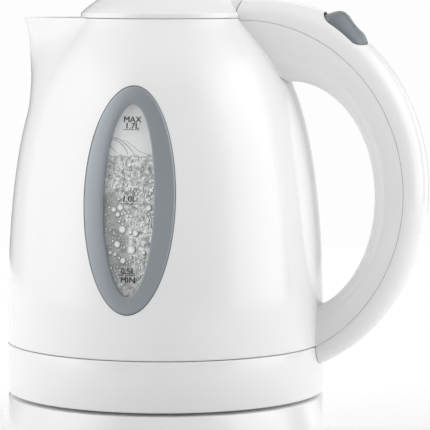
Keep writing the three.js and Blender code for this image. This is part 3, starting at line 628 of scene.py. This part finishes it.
def spout_room():
    """The inside of the spout, from the jug's wall out, and the opening that leads to it."""
    channel = revolve("channel", [(0, 150), *side(0, 150.5, RIM_Z + 2, 70), (0, RIM_Z + 2)], None, 240,
                      spout_warp(SPOUT_WALL))
    cut(channel, jug_space("wall_side", 0.4, 149, RIM_Z + 4))
    slot = block("slot", (-70, -11, 176), (-30, 11, 203.4))
    cut(slot, cut(block("outside", (-90, -40, 150), (0, 40, 215)), jug_space("wall_keep", 0.2, 149, 219)))
    return channel, slot


def body_shell():
    body = revolve("kettle_body", body_outline(), M["white"], 300, spout_warp(0))
    grip = bar("grip_bar", GRIP, channel_section(), HANDLE_TOP, HANDLE_END, 300, True)
    cut(grip, block("below", (20, -40, 0), (150, 40, JUG_BOTTOM)))
    join(body, grip)
    channel, slot = spout_room()
    vessel = jug_space("vessel", -WALL, LEDGE_TOP, RIM_Z + 1, 70)
    chamber = cylinder("chamber", JUG_R - WALL, 40, LEDGE_BOTTOM)
    bore = cylinder("bore", LEDGE_BORE, 55, 60)
    windows = prism("windows", circle(0, 0, 1, 120), window_hole, -100, 100)
    return cut(body, vessel, channel, slot, chamber, bore, windows)


def handle_cover():
    cover = bar("handle_cover_skin", CREST, cover_section(), HANDLE_TOP, HANDLE_END, 260)
    cover.data.materials.append(M["white"])
    slot = block("hinge_slot", (30, -SLOT_HALF, 190), (HINGE_X + 5.1, SLOT_HALF, 240))
    well = prism("switch_well", switch_outline(WELL_MARGIN), at_switch, -20, 20)
    return cut(cover, cylinder("lid_room", FRONT_R, 190, 240), cylinder("ring_room", JUG_R + GAP, 0, 60),
               jug_space("jug_room", GAP, JUG_BOTTOM, RIM_Z), slot, well)


def switch_outline(margin, steps=12):
    """The rocker's outline: a rounded oblong, a little wider down the handle, grown by a margin."""
    corner, right, left = ROCKER_CORNER, ROCKER_HIGH - ROCKER_CORNER, ROCKER_LOW + ROCKER_CORNER
    low, top = ROCKER_LOW_HALF - corner, ROCKER_TOP_HALF - corner
    points = []
    for quarter, (x, y) in enumerate(((right, low), (left, top), (left, -top), (right, -low))):
        for a in (quarter + np.linspace(0, 1, steps)) * math.pi / 2:
            points.append((x + (corner + margin) * math.cos(a), y + (corner + margin) * math.sin(a)))
    return points


def at_switch(x, y, z):
    """From the switch's own frame, X down the crest and Z out of it, to the jug's."""
    c, s = math.cos(-SWITCH_SLOPE), math.sin(-SWITCH_SLOPE)
    return SWITCH_X + x * c + z * s, y, SWITCH_Z - x * s + z * c


def window_point(x, z, offset, face):
    """A point in front of the jug's side at (x, z), on the near side (-1) or the far one (1)."""
    r = jug_radius(z) + offset
    return x, face * math.sqrt(max(r * r - x * x, 1.0)), z


def bezel(face, name):
    """An oval frame that follows the jug's side: (share from the lens out, height over the side)."""
    profile = [(0.0, -2.9), (0.0, -0.1), (0.012, 0.14), (0.04, 0.27), (0.12, 0.36), (0.3, 0.44), (0.5, 0.47),
               (0.7, 0.46), (0.86, 0.41), (0.94, 0.33), (0.98, 0.18), (1.0, -0.1), (1.0, -2.9)]
    around = 160
    points = []
    for u, v in circle(0, 0, 1, around):
        for share, height in profile:
            x = (LENS_X + (BEZEL_X - LENS_X) * share) * u
            z = WINDOW_Z + (LENS_Z + (BEZEL_Z - LENS_Z) * share) * v
            points.append(window_point(x, z, height, face))
    return outward(new_object(name, points, grid_faces(around, len(profile), True, True), M["bezel"]))


def window_patch(name, face, material, half_x, half_z, front, back, rings=26, around=96):
    """An oval plate in the window between two offsets from the jug's side."""
    shares = [(i / rings, front) for i in range(1, rings + 1)] + [(1.0, back)]
    shares += [(i / rings, back) for i in range(rings - 1, 0, -1)]
    points = []
    for share, offset in shares:
        for u, v in circle(0, 0, 1, around):
            points.append(window_point(half_x * share * u, WINDOW_Z + half_z * share * v, offset, face))
    points += [window_point(0, WINDOW_Z, offset, face) for offset in (front, back)]
    return outward(new_object(name, points, closed_faces(len(shares), around), material))


WATER_Z = 142.6
WATER_FRONT, WATER_BACK = -3.4, -4.4  # the panel's faces, measured from the jug's side
LENS_FRONT, LENS_BACK = -0.7, -2.3


def waterline(x):
    """The churned surface behind the window, a little uneven."""
    return WATER_Z + 0.35 * np.sin(0.9 * x) + 0.2 * np.sin(2.3 * x + 1)


def murkiness(x, z):
    """The duller patch towards the spout, which widens downwards."""
    edge = -6 + 0.22 * (128 - z)
    fading = np.clip((128 - z) / 6, 0, 1) * np.clip((z - 78) / 14, 0.25, 1)
    return np.clip((edge - x) / 3 + 0.5, 0, 1) * fading


def water_panel(face, name):
    panel = window_patch(name, face, M["water"], LENS_X + 1.2, LENS_Z + 1.2, WATER_FRONT, WATER_BACK,
                         60, 128)
    x = np.array([v.co.x for v in panel.data.vertices]) / MM - AXIS_X / MM
    z = np.array([v.co.z for v in panel.data.vertices]) / MM
    set_attribute(panel, "depth", waterline(x) - z)
    set_attribute(panel, "murk", murkiness(x, z))
    return panel


def set_attribute(obj, name, values):
    attribute = obj.data.attributes.new(name, "FLOAT", "POINT")
    attribute.data.foreach_set("value", np.asarray(values, np.float32))


SWELL_OFFSET = -3.3  # the edges just touch the panel
# The clear swell's edges over the waterline, in millimetres across and up, with each one's thickness.
SWELL = (
    (((-11.4, 150.6), (-9.0, 151.2), (-6.5, 150.7), (-2.7, 148.2), (0.3, 145.3), (2.2, 142.9)), 0.16),
    (((-10.9, 150.0), (-8.8, 150.3), (-7.0, 149.8), (-3.8, 147.4), (-2.2, 145.2), (-1.4, 142.9)), 0.14),
    (((-5.0, 150.4), (-2.2, 149.4), (0.5, 147.6), (3.0, 145.4), (6.0, 143.9), (10.5, 143.4)), 0.09),
    (((-11.2, 149.4), (-10.2, 147.2), (-8.9, 145.6), (-6.3, 143.6)), 0.12),
)


def swell_edge(knots, thick, face, steps=28, around=6):
    """One edge: a smoothed path through its knots that thins towards its ends."""
    knots = np.array(knots)
    share = np.linspace(0, len(knots) - 1, steps)
    path = [np.interp(share, range(len(knots)), knots[:, k]) for k in (0, 1)]
    xs, zs = (np.convolve(np.pad(v, 3, "edge"), np.ones(7) / 7, "valid") for v in path)
    points = []
    for k, (x, z) in enumerate(zip(xs, zs)):
        width = thick * (0.35 + 0.65 * math.sin(math.pi * (k + 3) / (steps + 5)))
        for a in np.linspace(0, 2 * math.pi, around, endpoint=False):
            across, up = width * math.sin(a), width * math.cos(a)
            px, py, pz = window_point(x + across, z + up, SWELL_OFFSET, face)
            points.append((px, py + width * math.sin(2 * a) * 0.4, pz))
    return points, grid_faces(steps, around, False, True)


def swell_edges(face, name):
    """Thin dark lines of painted shade along the curved edges of clear water that stands over the froth,
    where bent light darkens them.
    """
    return new_object(name, *merged(swell_edge(*edge, face) for edge in SWELL), M["swell"])


def unit_sphere(rings=7, around=12):
    points = [(0, 0, 1)]
    for i in range(1, rings):
        a = math.pi * i / rings
        points += [(math.sin(a) * math.cos(b), math.sin(a) * math.sin(b), math.cos(a))
                   for b in np.linspace(0, 2 * math.pi, around, endpoint=False)]
    points.append((0, 0, -1))
    faces = [tuple(v + 1 for v in f) for f in grid_faces(rings - 1, around, False, True)]
    faces += [(0, 1 + j, 1 + (j + 1) % around) for j in range(around)]
    start = 1 + (rings - 2) * around
    faces += [(start + around, start + (j + 1) % around, start + j) for j in range(around)]
    return np.array(points), faces


# The largest bubbles, as millimetres across, up, and radius.
LARGE_BUBBLES = (
    (-5.4, 101.4, 1.9), (1.4, 98.9, 2.6), (-2.5, 93.9, 1.7), (-3.0, 108.4, 2.2), (-7.4, 117.6, 1.5),
    (-4.2, 118.6, 1.9), (-5.4, 115.4, 1.4), (-11.0, 111.2, 1.3), (3.2, 106.8, 1.9), (0.8, 107.4, 1.3),
    (-8.9, 97.6, 1.2), (-6.4, 96.9, 1.1), (7.2, 98.0, 1.3), (-8.4, 90.4, 0.9), (9.4, 118.6, 1.6))
BUBBLE_TRIES = 6500


def bubble_places(seed):
    """Small bubbles crowd under the surface, and large ones stand apart lower down."""
    draw = np.random.default_rng(seed)
    places = np.array([p for p in LARGE_BUBBLES if abs(p[0]) + p[2] < LENS_X])
    for _ in range(BUBBLE_TRIES):
        x, z = draw.uniform(-LENS_X, LENS_X), draw.uniform(WINDOW_Z - LENS_Z, 143)
        radius = 0.22 + 0.62 * draw.random() ** 3
        margin = (x / (LENS_X - radius)) ** 2 + ((z - WINDOW_Z) / (LENS_Z - radius)) ** 2
        thin = draw.random() < 0.1 + 0.6 * murkiness(x, z)
        if margin > 1 or z > waterline(x) - radius or thin:
            continue
        apart = np.hypot(places[:, 0] - x, places[:, 1] - z) - 0.9 * (places[:, 2] + radius)
        if apart.min() > 0:
            places = np.vstack([places, (x, z, radius)])
    return places


def bubbles(face, name, seed):
    sphere, sphere_faces = unit_sphere()
    rim = np.hypot(sphere[:, 0], sphere[:, 2])
    # painted shade on the bubbles: darker towards each rim, and darker to the bottom and to one side, away
    # from the light
    painted_shade = rim + 0.32 * (0.6 * sphere[:, 0] * -face - 0.8 * sphere[:, 2])
    parts = []
    for x, z, radius in bubble_places(seed):
        centre = np.array(window_point(x, z, WATER_FRONT - 0.2 * radius, face))
        parts.append((centre + sphere * [radius, min(radius, 0.9), radius], sphere_faces))
    obj = new_object(name, *merged(parts), M["bubble"])
    set_attribute(obj, "shade", np.tile(painted_shade, len(parts)))
    return obj


# Each mark's words and the height of their foot; then the height of each line's top.
MARKS = (("MAX", 158.5), ("1.7L", 155.6), ("1.0L", 121.9), ("0.5L", 88.3), ("MIN", 84.2))
UNDERLINES = (155.2, 121.0, 87.9)
LETTER_SIZE, LINE_HALF, LINE_THICK, MARK_OFFSET = 3.85, 3.9, 0.26, -0.62
LETTER_WIDTH, STROKE = 1.04, 0.1  # how much wider and bolder than the plain font
MARK_SHIFT = 0.4  # the marks stand a little to the right of the lens's middle


def lettering(text, foot, face):
    """A word's points, wrapped on the jug's side, and its faces."""
    curve = bpy.data.curves.new("mark", "FONT")
    curve.body, curve.size, curve.align_x = text, LETTER_SIZE, "CENTER"
    temporary = bpy.data.objects.new("mark", curve)
    bpy.context.scene.collection.objects.link(temporary)
    bpy.context.view_layer.update()
    shown = temporary.evaluated_get(bpy.context.evaluated_depsgraph_get())
    mesh = bpy.data.meshes.new_from_object(shown)
    bpy.data.objects.remove(temporary)
    flat = [tuple(p.vertices) for p in mesh.polygons]
    copies = []
    for step, shift in enumerate((-STROKE, 0, STROKE)):
        copies.append(([window_point(-face * (v.co.x * LETTER_WIDTH + shift + MARK_SHIFT), foot + v.co.y,
                                     MARK_OFFSET - 0.01 * step, face) for v in mesh.vertices], flat))
    return merged(copies)


def underline(top, face):
    points = []
    for x in np.linspace(-LINE_HALF, LINE_HALF, 8):
        points += [window_point(-face * x, z, MARK_OFFSET, face) for z in (top, top - LINE_THICK)]
    return points, [(i, i + 1, i + 3, i + 2) for i in range(0, 14, 2)]


def scale_marks(face, name):
    """Generic fill marks and their lines, printed on the lens."""
    printed = [lettering(text, foot, face) for text, foot in MARKS]
    printed += [underline(top, face) for top in UNDERLINES]
    obj = new_object(name, *merged(printed), M["ink"])
    obj.modifiers.new("ink", "SOLIDIFY").thickness = 0.05 * MM
    return obj


def bottom_housing():
    bore, floor_z = 20.6, 25.5
    outline = [(bore, FOOT_LOW, 0.4), (JUG_R, FOOT_LOW, 1.0), (JUG_R, FOOT_HIGH, 0.7),
               (JUG_R - WALL, FOOT_HIGH, 0.3), (JUG_R - WALL, floor_z), (bore, floor_z, 0.4)]
    return revolve("foot_ring", rounded(outline), M["white"], 220)


# ---- Switch ----------------------------------------------------------------------------------------
# The rocker's top along its middle: millimetres down the crest, and out of it.
HUMP = np.array([(-14, -4.8), (-12.9, -3.1), (-11.6, -1.4), (-10.2, 0.3), (-9.2, 1.75), (-7.8, 3.15),
                 (-6.2, 3.9), (-4.6, 4.05), (-2.6, 3.75), (-0.4, 2.95), (2.0, 2.05), (5.1, 1.4),
                 (7.6, 1.15), (9.2, 0.6), (15, -3.0)])
PAD_LOW, PAD_HIGH, PAD_HALF = -7.4, 2.6, 3.4  # the indicator's pad on the hump


def crown(y):
    """How far the crest falls away to its sides."""
    return CROWN_DEPTH * (1 - math.sqrt(1 - (y / CROWN_HALF) ** 2))


def hump(x, y):
    height = np.interp(x, HUMP[:, 0], HUMP[:, 1])
    return height - max(0, height) * HUMP_FALL * (y / ROCKER_LOW_HALF) ** 2 - crown(y)


def rocker_cap():
    """The rocker: its outline, a thumb hump along it, and a rounded edge all round."""
    outline = np.array(switch_outline(0, 16))
    shares = [0.1, 0.2, 0.3, 0.4, 0.5, 0.6, 0.7, 0.78, 0.85, 0.9, 0.94, 0.97, 0.99, 1.0]
    points = []
    for share in shares:
        past = max(0.0, share - 0.9) / 0.1
        drop = 0.9 * (1 - math.sqrt(1 - past ** 2))
        points += [(x * share, y * share, hump(x * share, y * share) - drop) for x, y in outline]
    skirt = -6.0
    points += [(x, y, skirt) for x, y in outline]
    points += [(0, 0, hump(0, 0)), (0, 0, skirt)]
    faces = closed_faces(len(shares) + 1, len(outline))
    return outward(new_object("rocker_cap", [at_switch(*p) for p in points], faces, M["grey"]))


def pad_column(name, margin, drop):
    """The pad's rectangle as a column with a sloping floor."""
    low, high, half = PAD_LOW - margin, PAD_HIGH + margin, PAD_HALF + margin
    outline = [(low, -half), (high, -half), (high, half), (low, half)]
    return prism(name, outline, lambda x, y, z: at_switch(x, y, z - 0.2 * x * (z < 5)), drop, 12)


def rocker_and_pad():
    """The rocker with a groove round the indicator's pad, and the pad itself."""
    rocker, pad = rocker_cap(), rocker_cap()
    pad.name = "rocker_pad"
    shared(pad, pad_column("pad_column", 0, 1.2))
    cut(rocker, pad_column("groove_column", 0.22, 0.9))
    return rocker, pad


def front_gap_shadow():
    """A black band of painted shade in the gap between the cover's front edge and the lid's back."""
    middle, low, high = (BRIDGE_R + FRONT_R) / 2, 204.5, 230
    inner, outer = middle - 0.14, middle + 0.14
    ring = revolve("cover_front_gap_shadow", [(inner, low), (outer, low), (outer, high), (inner, high)],
                   M["black"], 240)
    skin = bar("gap_shadow_room", CREST, solid_section(0.975), CREST_START, 1.5, 60)
    shared(ring, skin)
    return cut(ring, block("gap_shadow_slot", (30, -SLOT_HALF, 190), (60, SLOT_HALF, 240)))


def well_gap_shadow():
    """A black band of painted shade round the switch's well, a little below the cover's skin, for the gap
    round the rocker.
    """
    outer, inner = switch_outline(WELL_MARGIN), switch_outline(0.34)
    rings = []
    for outline, low in ((inner, True), (inner, False), (outer, False), (outer, True)):
        rings.append([at_switch(x, y, -9 if low else -0.45 - x * x / 170 - crown(y)) for x, y in outline])
    points = [ring[i] for i in range(len(outer)) for ring in rings]
    faces = grid_faces(len(outer), 4, True, True)
    return outward(new_object("switch_well_gap_shadow", points, faces, M["black"]))


# ---- Lid -------------------------------------------------------------------------------------------
def dome_z(r, thick=0.0):
    return DOME_Z + math.sqrt((DOME_R - thick) ** 2 - r * r)


LID_HOLE = 11.4  # the button's hole in the dome


def lid_dome():
    rim = LID_R - 2.4
    over = [(r, dome_z(r)) for r in np.linspace(39.0, LID_HOLE + 0.7, 40)]
    under = [(r, dome_z(r, LID_WALL)) for r in np.linspace(LID_HOLE, rim - 0.4, 24)]
    outline = rounded([(rim, 206.25), (LID_R, 206.25, 0.25), (LID_R, 208.5, 0.7), (40.3, 209.35, 0.8), *over,
                       (LID_HOLE, dome_z(LID_HOLE) - 0.5, 0.3), *under])
    return revolve("lid_dome", outline, M["white"], 220)


def lid_inside():
    """The space under the dome, which the lid's tail and bridge stay out of."""
    over = [(r, dome_z(r, 1)) for r in (38.8, 30, 20, 10, 0)]
    return revolve("inside", [(0, 195), (40.2, 195), (40.2, 207.4), *over])


def lid_tail():
    """The tail that reaches into the cover's slot and turns on the hinge pin."""
    low = bend(HINGE_X, HINGE_Z, 3.3, -2.2, 0.3, 14)
    high = bend(HINGE_X, HINGE_Z, 4.5, 0.3, math.pi / 2, 10)
    tail = prism("tail", [(36, 207), (41.2, 206.4), *low, *high, (32, dome_z(32) - 0.6)], along_y,
                 -TAIL_HALF, TAIL_HALF)
    cut(tail, lid_inside())
    return shared(tail, bar("crest", CREST, solid_section(), CREST_START, 1.2, 60))


def lid_bridge():
    """The saddle that carries the handle's crest on to the dome."""
    bridge = bar("bridge", CREST, solid_section(), CREST_START, 1.55, 60)
    shared(bridge, cylinder("bridge_room", BRIDGE_R, 206.6, 230, 240))
    return cut(bridge, lid_inside())


def lid_shell():
    dome, tail, bridge = lid_dome(), lid_tail(), lid_bridge()
    notch = block("notch", (30, -HANDLE_HALF - 0.5, 200), (60, HANDLE_HALF + 0.5, 230))
    cut(notch, cylinder("notch_keep", BRIDGE_R, 190, 240, 240))
    cut(dome, notch)
    join(dome, bridge, tail)
    return cut(dome, prism("pin", circle(HINGE_X, HINGE_Z, 1.8, 32), along_y, -20, 20))


def lid_button():
    stem, flange, cap, flange_z = 3, 13, 11, 218.4
    outline = rounded([(0, 206), (stem, 206), (stem, flange_z), (flange, flange_z), (flange, flange_z + 1.4),
                       (cap, flange_z + 1.4), (cap, 225.1, 1.0), (7, 225.45, 6), (0, 225.5)], 5)
    button = revolve("button_cap", outline, M["white"], 96)
    arm = block("arm", (-18, -3, 216.2), (-6.6, 3, 218.8))
    finger = block("finger", (-18, -3, 204.2), (-14.5, 3, 218.4))
    return join(button, arm, finger)


def lid_liner():
    r, z, wall = 36.4, 199.0, 1.7
    inner, above = r - wall, z + wall
    outline = rounded([(0, z), (r, z, 1.6), (r, dome_z(r, LID_WALL) - GAP),
                       (inner, dome_z(inner, LID_WALL) - 1.2), (inner, above), (7, above), (7, 207.6),
                       (3.5, 207.6), (3.5, above), (0, above)])
    liner = revolve("lid_underside", outline, M["inside"], 120)
    return cut(liner, block("latch_way", (-45, -5.4, 200.9), (-30, 5.4, 203.6)))


# ---- Power base ------------------------------------------------------------------------------------
def base_cover():
    flare = [(BASE_R - 0.2 * (1 - s) * s - 3.4 * s ** 1.5, 6 + 14.2 * s) for s in np.linspace(0, 1, 10)]
    outline = rounded([(76.2, 1.0), (77.4, 1.0, 0.4), (80.9, 4.4, 0.4), (BASE_R, 6.0, 0.5), *flare[1:],
                       (77.6, 21.2, 0.6), (76.6, BASE_TOP), (BASE_BORE, BASE_TOP, 0.5),
                       (BASE_BORE, BASE_INNER), (74.1, BASE_INNER), (79.1, 7), (75.6, 1.0)])
    cover = revolve("power_base_cover", outline, M["white"], 220)
    return cut(cover, prism("cord_hole", circle(0, 9, 4.5, 40), along_y, 72, 96))


def socket_tower():
    outline = rounded([(2.6, 15.6), (26, 15.6), (26, 18.8), (16, 18.8, 0.6), (16, 36, 0.8),
                       (11.5, 36, 0.4), (11.5, 24), (9, 24), (9, 36, 0.4), (2.6, 36, 0.5)])
    return revolve("connector_tower", outline, M["black"], 96)


def collar():
    inner, outer, top = 16.4, 20.1, 22.8
    outline = rounded([(inner, BASE_INNER), (outer, BASE_INNER), (outer, top, 0.5), (inner, top, 0.5)])
    return revolve("swivel_ring", outline, M["grey"], 96)


def feet():
    radius, thick = 6, 1.3
    outline = rounded([(0, 0), (radius, 0, 0.5), (radius, thick), (0, thick)])
    made = []
    for i in range(4):
        low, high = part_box(f"base_foot_{i + 1}")
        centre = ((low + high) / 2 - Vector((AXIS_X, 0, 0))) / MM
        foot = revolve(f"rubber_foot_{i + 1}", outline, M["rubber"], 48)
        foot.data.transform(Matrix.Translation(Vector((centre.x, centre.y, 0)) * MM))
        made.append(foot)
    return made


def heating_plate():
    low, top, groove, edge = 52, 53.5, 53.3, 64.6
    outline = rounded([(0, low), (edge, low), (edge, top, 0.5), (61.5, top), (60.8, groove), (57.5, groove),
                       (56.8, top), (20, top), (0, top)])
    return revolve("heater_plate", outline, M["plate"], 160)


# ---- Assembly --------------------------------------------------------------------------------------
def add_jug():
    """The jug's shells and both windows, the front one towards -Y."""
    show(body_shell(), "jug", "white_plastic", "body_shell", "handle_grip")
    show(handle_cover(), "jug", "white_plastic", "handle_cover")
    show(bottom_housing(), "jug", "white_plastic", "bottom_housing")
    show(heating_plate(), "jug", "steel", "heating_plate")
    for face, end, seed in ((-1, "front", 4), (1, "rear", 9)):
        show(bezel(face, f"{end}_bezel"), "jug", "grey_plastic", f"{end}_window_bezel")
        lens = window_patch(f"{end}_lens", face, M["lens"], LENS_X - 0.05, LENS_Z - 0.05,
                            LENS_FRONT, LENS_BACK)
        show(lens, "jug", "clear_plastic", f"{end}_window_lens")
        show(water_panel(face, f"{end}_water"), "jug", "clear_plastic")
        show(bubbles(face, f"{end}_bubbles", seed), "jug", "clear_plastic")
        show(swell_edges(face, f"{end}_swell"), "jug", "clear_plastic")
        show(scale_marks(face, f"{end}_marks"), "jug", "black_plastic")


def add_switch():
    """The rocker, with black bands of painted shade in the gaps round its well and at the lid's seam."""
    rocker, pad = rocker_and_pad()
    show(rocker, "rocker", "grey_plastic", "rocker_switch")
    show(pad, "rocker", "grey_plastic", "indicator_lens")
    show(well_gap_shadow(), "jug", "black_plastic")
    show(front_gap_shadow(), "jug", "black_plastic")


def add_lid():
    show(lid_shell(), "lid", "white_plastic", "lid_shell")
    show(lid_liner(), "lid", "white_plastic", "lid_liner")
    show(lid_button(), "button", "white_plastic", "lid_button")


def add_base():
    show(base_cover(), "power_base", "white_plastic", "base_cover")
    show(socket_tower(), "power_base", "black_plastic", "base_socket_tower")
    show(collar(), "swivel", "grey_plastic", "swivel_collar")
    for i, foot in enumerate(feet()):
        show(foot, "power_base", "rubber_feet", f"base_foot_{i + 1}")


def numbered(name, count):
    return tuple(f"{name}_{i + 1}" for i in range(count))


KEPT = {
    "white": ("base_bottom_plate",),
    "inside": ("lid_latch",),
    "grey": ("cord_gland",),
    "filter": ("spout_filter",),
    "silicone": ("plate_seal", "steam_duct"),
    "aluminium": ("heat_diffuser",),
    "brass": ("inlet_pin", "inlet_ring"),
    "black": ("thermostat_control", "appliance_inlet", "switch_body"),
    "steel": ("plate_clamp_ring", "heating_element", "steam_bimetal", "lid_hinge_pin", "rocker_pin",
              "button_spring", *numbered("housing_screw", 3), *numbered("base_screw", 3)),
}


def finish_kept_nodes():
    """The CAD nodes that stay take the finer materials."""
    for key, names in KEPT.items():
        for name in names:
            for place in NODES[name].material_slots:
                place.link = "OBJECT"
                place.material = M[key]


# ---- Studio ----------------------------------------------------------------------------------------
CAMERA = {"azimuth": 12.6, "elevation": 5.3, "distance": 1.3, "lens": 220.9,
          "across": 0.0243, "height": 0.109}


def camera():
    a, e = math.radians(CAMERA["azimuth"]), math.radians(CAMERA["elevation"])
    back = Vector((math.sin(a) * math.cos(e), -math.cos(a) * math.cos(e), math.sin(e)))
    right = Vector((math.cos(a), math.sin(a), 0))
    data = bpy.data.cameras.new("camera")
    data.lens, data.sensor_width, data.clip_start = CAMERA["lens"], 36, 0.05
    cam = bpy.data.objects.new("camera", data)
    bpy.context.scene.collection.objects.link(cam)
    middle = Vector((AXIS_X, 0, CAMERA["height"]))
    cam.location = middle + right * CAMERA["across"] + back * CAMERA["distance"]
    cam.rotation_mode = "QUATERNION"
    cam.rotation_quaternion = (-back).to_track_quat("-Z", "Y")
    bpy.context.scene.camera = cam


GLOW_FROM, GLOW_TO = -0.07, 0.03  # metres behind the middle, between which the floor starts to glow
GLOW_REACH = 0.3  # metres to either side over which the front of the floor brightens
GLOW_BEHIND = 0.43


def floor():
    """A pale disc that glows behind the kettle and to its sides, as a lit sweep does."""
    disc = cylinder("floor", 900, -8, -0.1, 96)
    s = Shader("floor_white", Roughness=0.85, Emission_Color=(1, 1, 1, 1))
    s.colour(s.noise(3), (0.55, 0.55, 0.55), (0.56, 0.56, 0.56))
    split = s.facing(s.coords)
    back = s.add("ShaderNodeMapRange")
    back.inputs["From Min"].default_value, back.inputs["From Max"].default_value = GLOW_FROM, GLOW_TO
    s.link(split.outputs["Y"], back.inputs["Value"])
    aside = s.add("ShaderNodeMath", operation="ABSOLUTE")
    s.link(split.outputs["X"], aside.inputs[0])
    front = s.ramp(aside.outputs["Value"], (0.03, (0.02,)), (GLOW_REACH, (0.56,)))
    glow = blend(s, back.outputs["Result"], front, GLOW_BEHIND)
    s.link(glow, s.main.inputs["Emission Strength"])
    disc.data.materials.append(s.material)


BACKDROP = 0.982  # what the camera sees past the kettle

# Brightness of the softboxes round the kettle, by degrees to the right of the camera.
LOW_LIGHTS = (
    (0, 0.5), (28, 0.35), (44, 0.6), (56, 2.0), (78, 2.35), (92, 2.15), (102, 0.35), (114, 0.3),
    (124, 1.5), (136, 1.1), (150, 0.5), (170, 0.85), (182, 0.85), (192, 0.2), (214, 0.5), (228, 0.5),
    (240, 1.0), (256, 1.15), (272, 1.8), (292, 2.35), (304, 1.6), (316, 0.95), (328, 0.15), (342, 0.6))
HIGH_LIGHTS = (
    (0, 0.1), (30, 0.15), (60, 2.8), (90, 3.2), (120, 0.4), (150, 0.6), (180, 1.6), (210, 0.3),
    (240, 1.2), (270, 2.2), (300, 2.5), (330, 0.1))
TOP_LIGHT = 0.68


class Tent(Nodes):
    """World nodes for softboxes that stand all round, in a low row and a high one, under a flat ceiling."""

    def __init__(self):
        world = bpy.data.worlds.new("tent")
        bpy.context.scene.world = world
        world.use_nodes = True
        self.tree = world.node_tree

    def maths(self, operation, *values):
        node = self.add("ShaderNodeMath", operation=operation)
        for socket, value in zip(node.inputs, values):
            self.put(value, socket)
        return node.outputs[0]

    def row(self, share, stops):
        """A colour ramp round the circle; the first stop is repeated to close it."""
        peak = max(level for _, level in stops)
        closed = [*stops, (360, stops[0][1])]
        shares = [(degrees / 360, (level / peak,)) for degrees, level in closed]
        return self.maths("MULTIPLY", self.ramp(share, *shares), peak)

    def mix(self, share, a, b):
        """a where share is 0, b where it is 1."""
        node = self.add("ShaderNodeMix")
        for socket, value in (("Factor", share), ("A", a), ("B", b)):
            self.put(value, node.inputs[socket])
        return node.outputs["Result"]

    def build(self):
        split = self.facing(self.add("ShaderNodeTexCoord").outputs["Generated"])
        away = self.maths("MULTIPLY", split.outputs["Y"], -1)
        turn = self.maths("DIVIDE", self.maths("ARCTAN2", split.outputs["X"], away), 2 * math.pi)
        share = self.maths("FRACT", self.maths("ADD", turn, 1))
        height = split.outputs["Z"]
        raised = self.band(height, 0.2, 0.6)
        over = self.band(height, 0.6, 0.95)
        rows = self.mix(raised, self.row(share, LOW_LIGHTS), self.row(share, HIGH_LIGHTS))
        light = self.mix(over, rows, TOP_LIGHT)
        seen = self.add("ShaderNodeLightPath")
        shown = self.mix(seen.outputs["Is Camera Ray"], light, BACKDROP)
        self.link(shown, self.tree.nodes["Background"].inputs["Color"])

    def band(self, height, low, high):
        node = self.add("ShaderNodeMapRange")
        node.inputs["From Min"].default_value, node.inputs["From Max"].default_value = low, high
        self.link(height, node.inputs["Value"])
        return node.outputs["Result"]


camera()
Tent().build()
floor()
bpy.context.scene.view_settings.view_transform = "Standard"
add_jug()
add_switch()
add_lid()
add_base()
finish_kept_nodes()
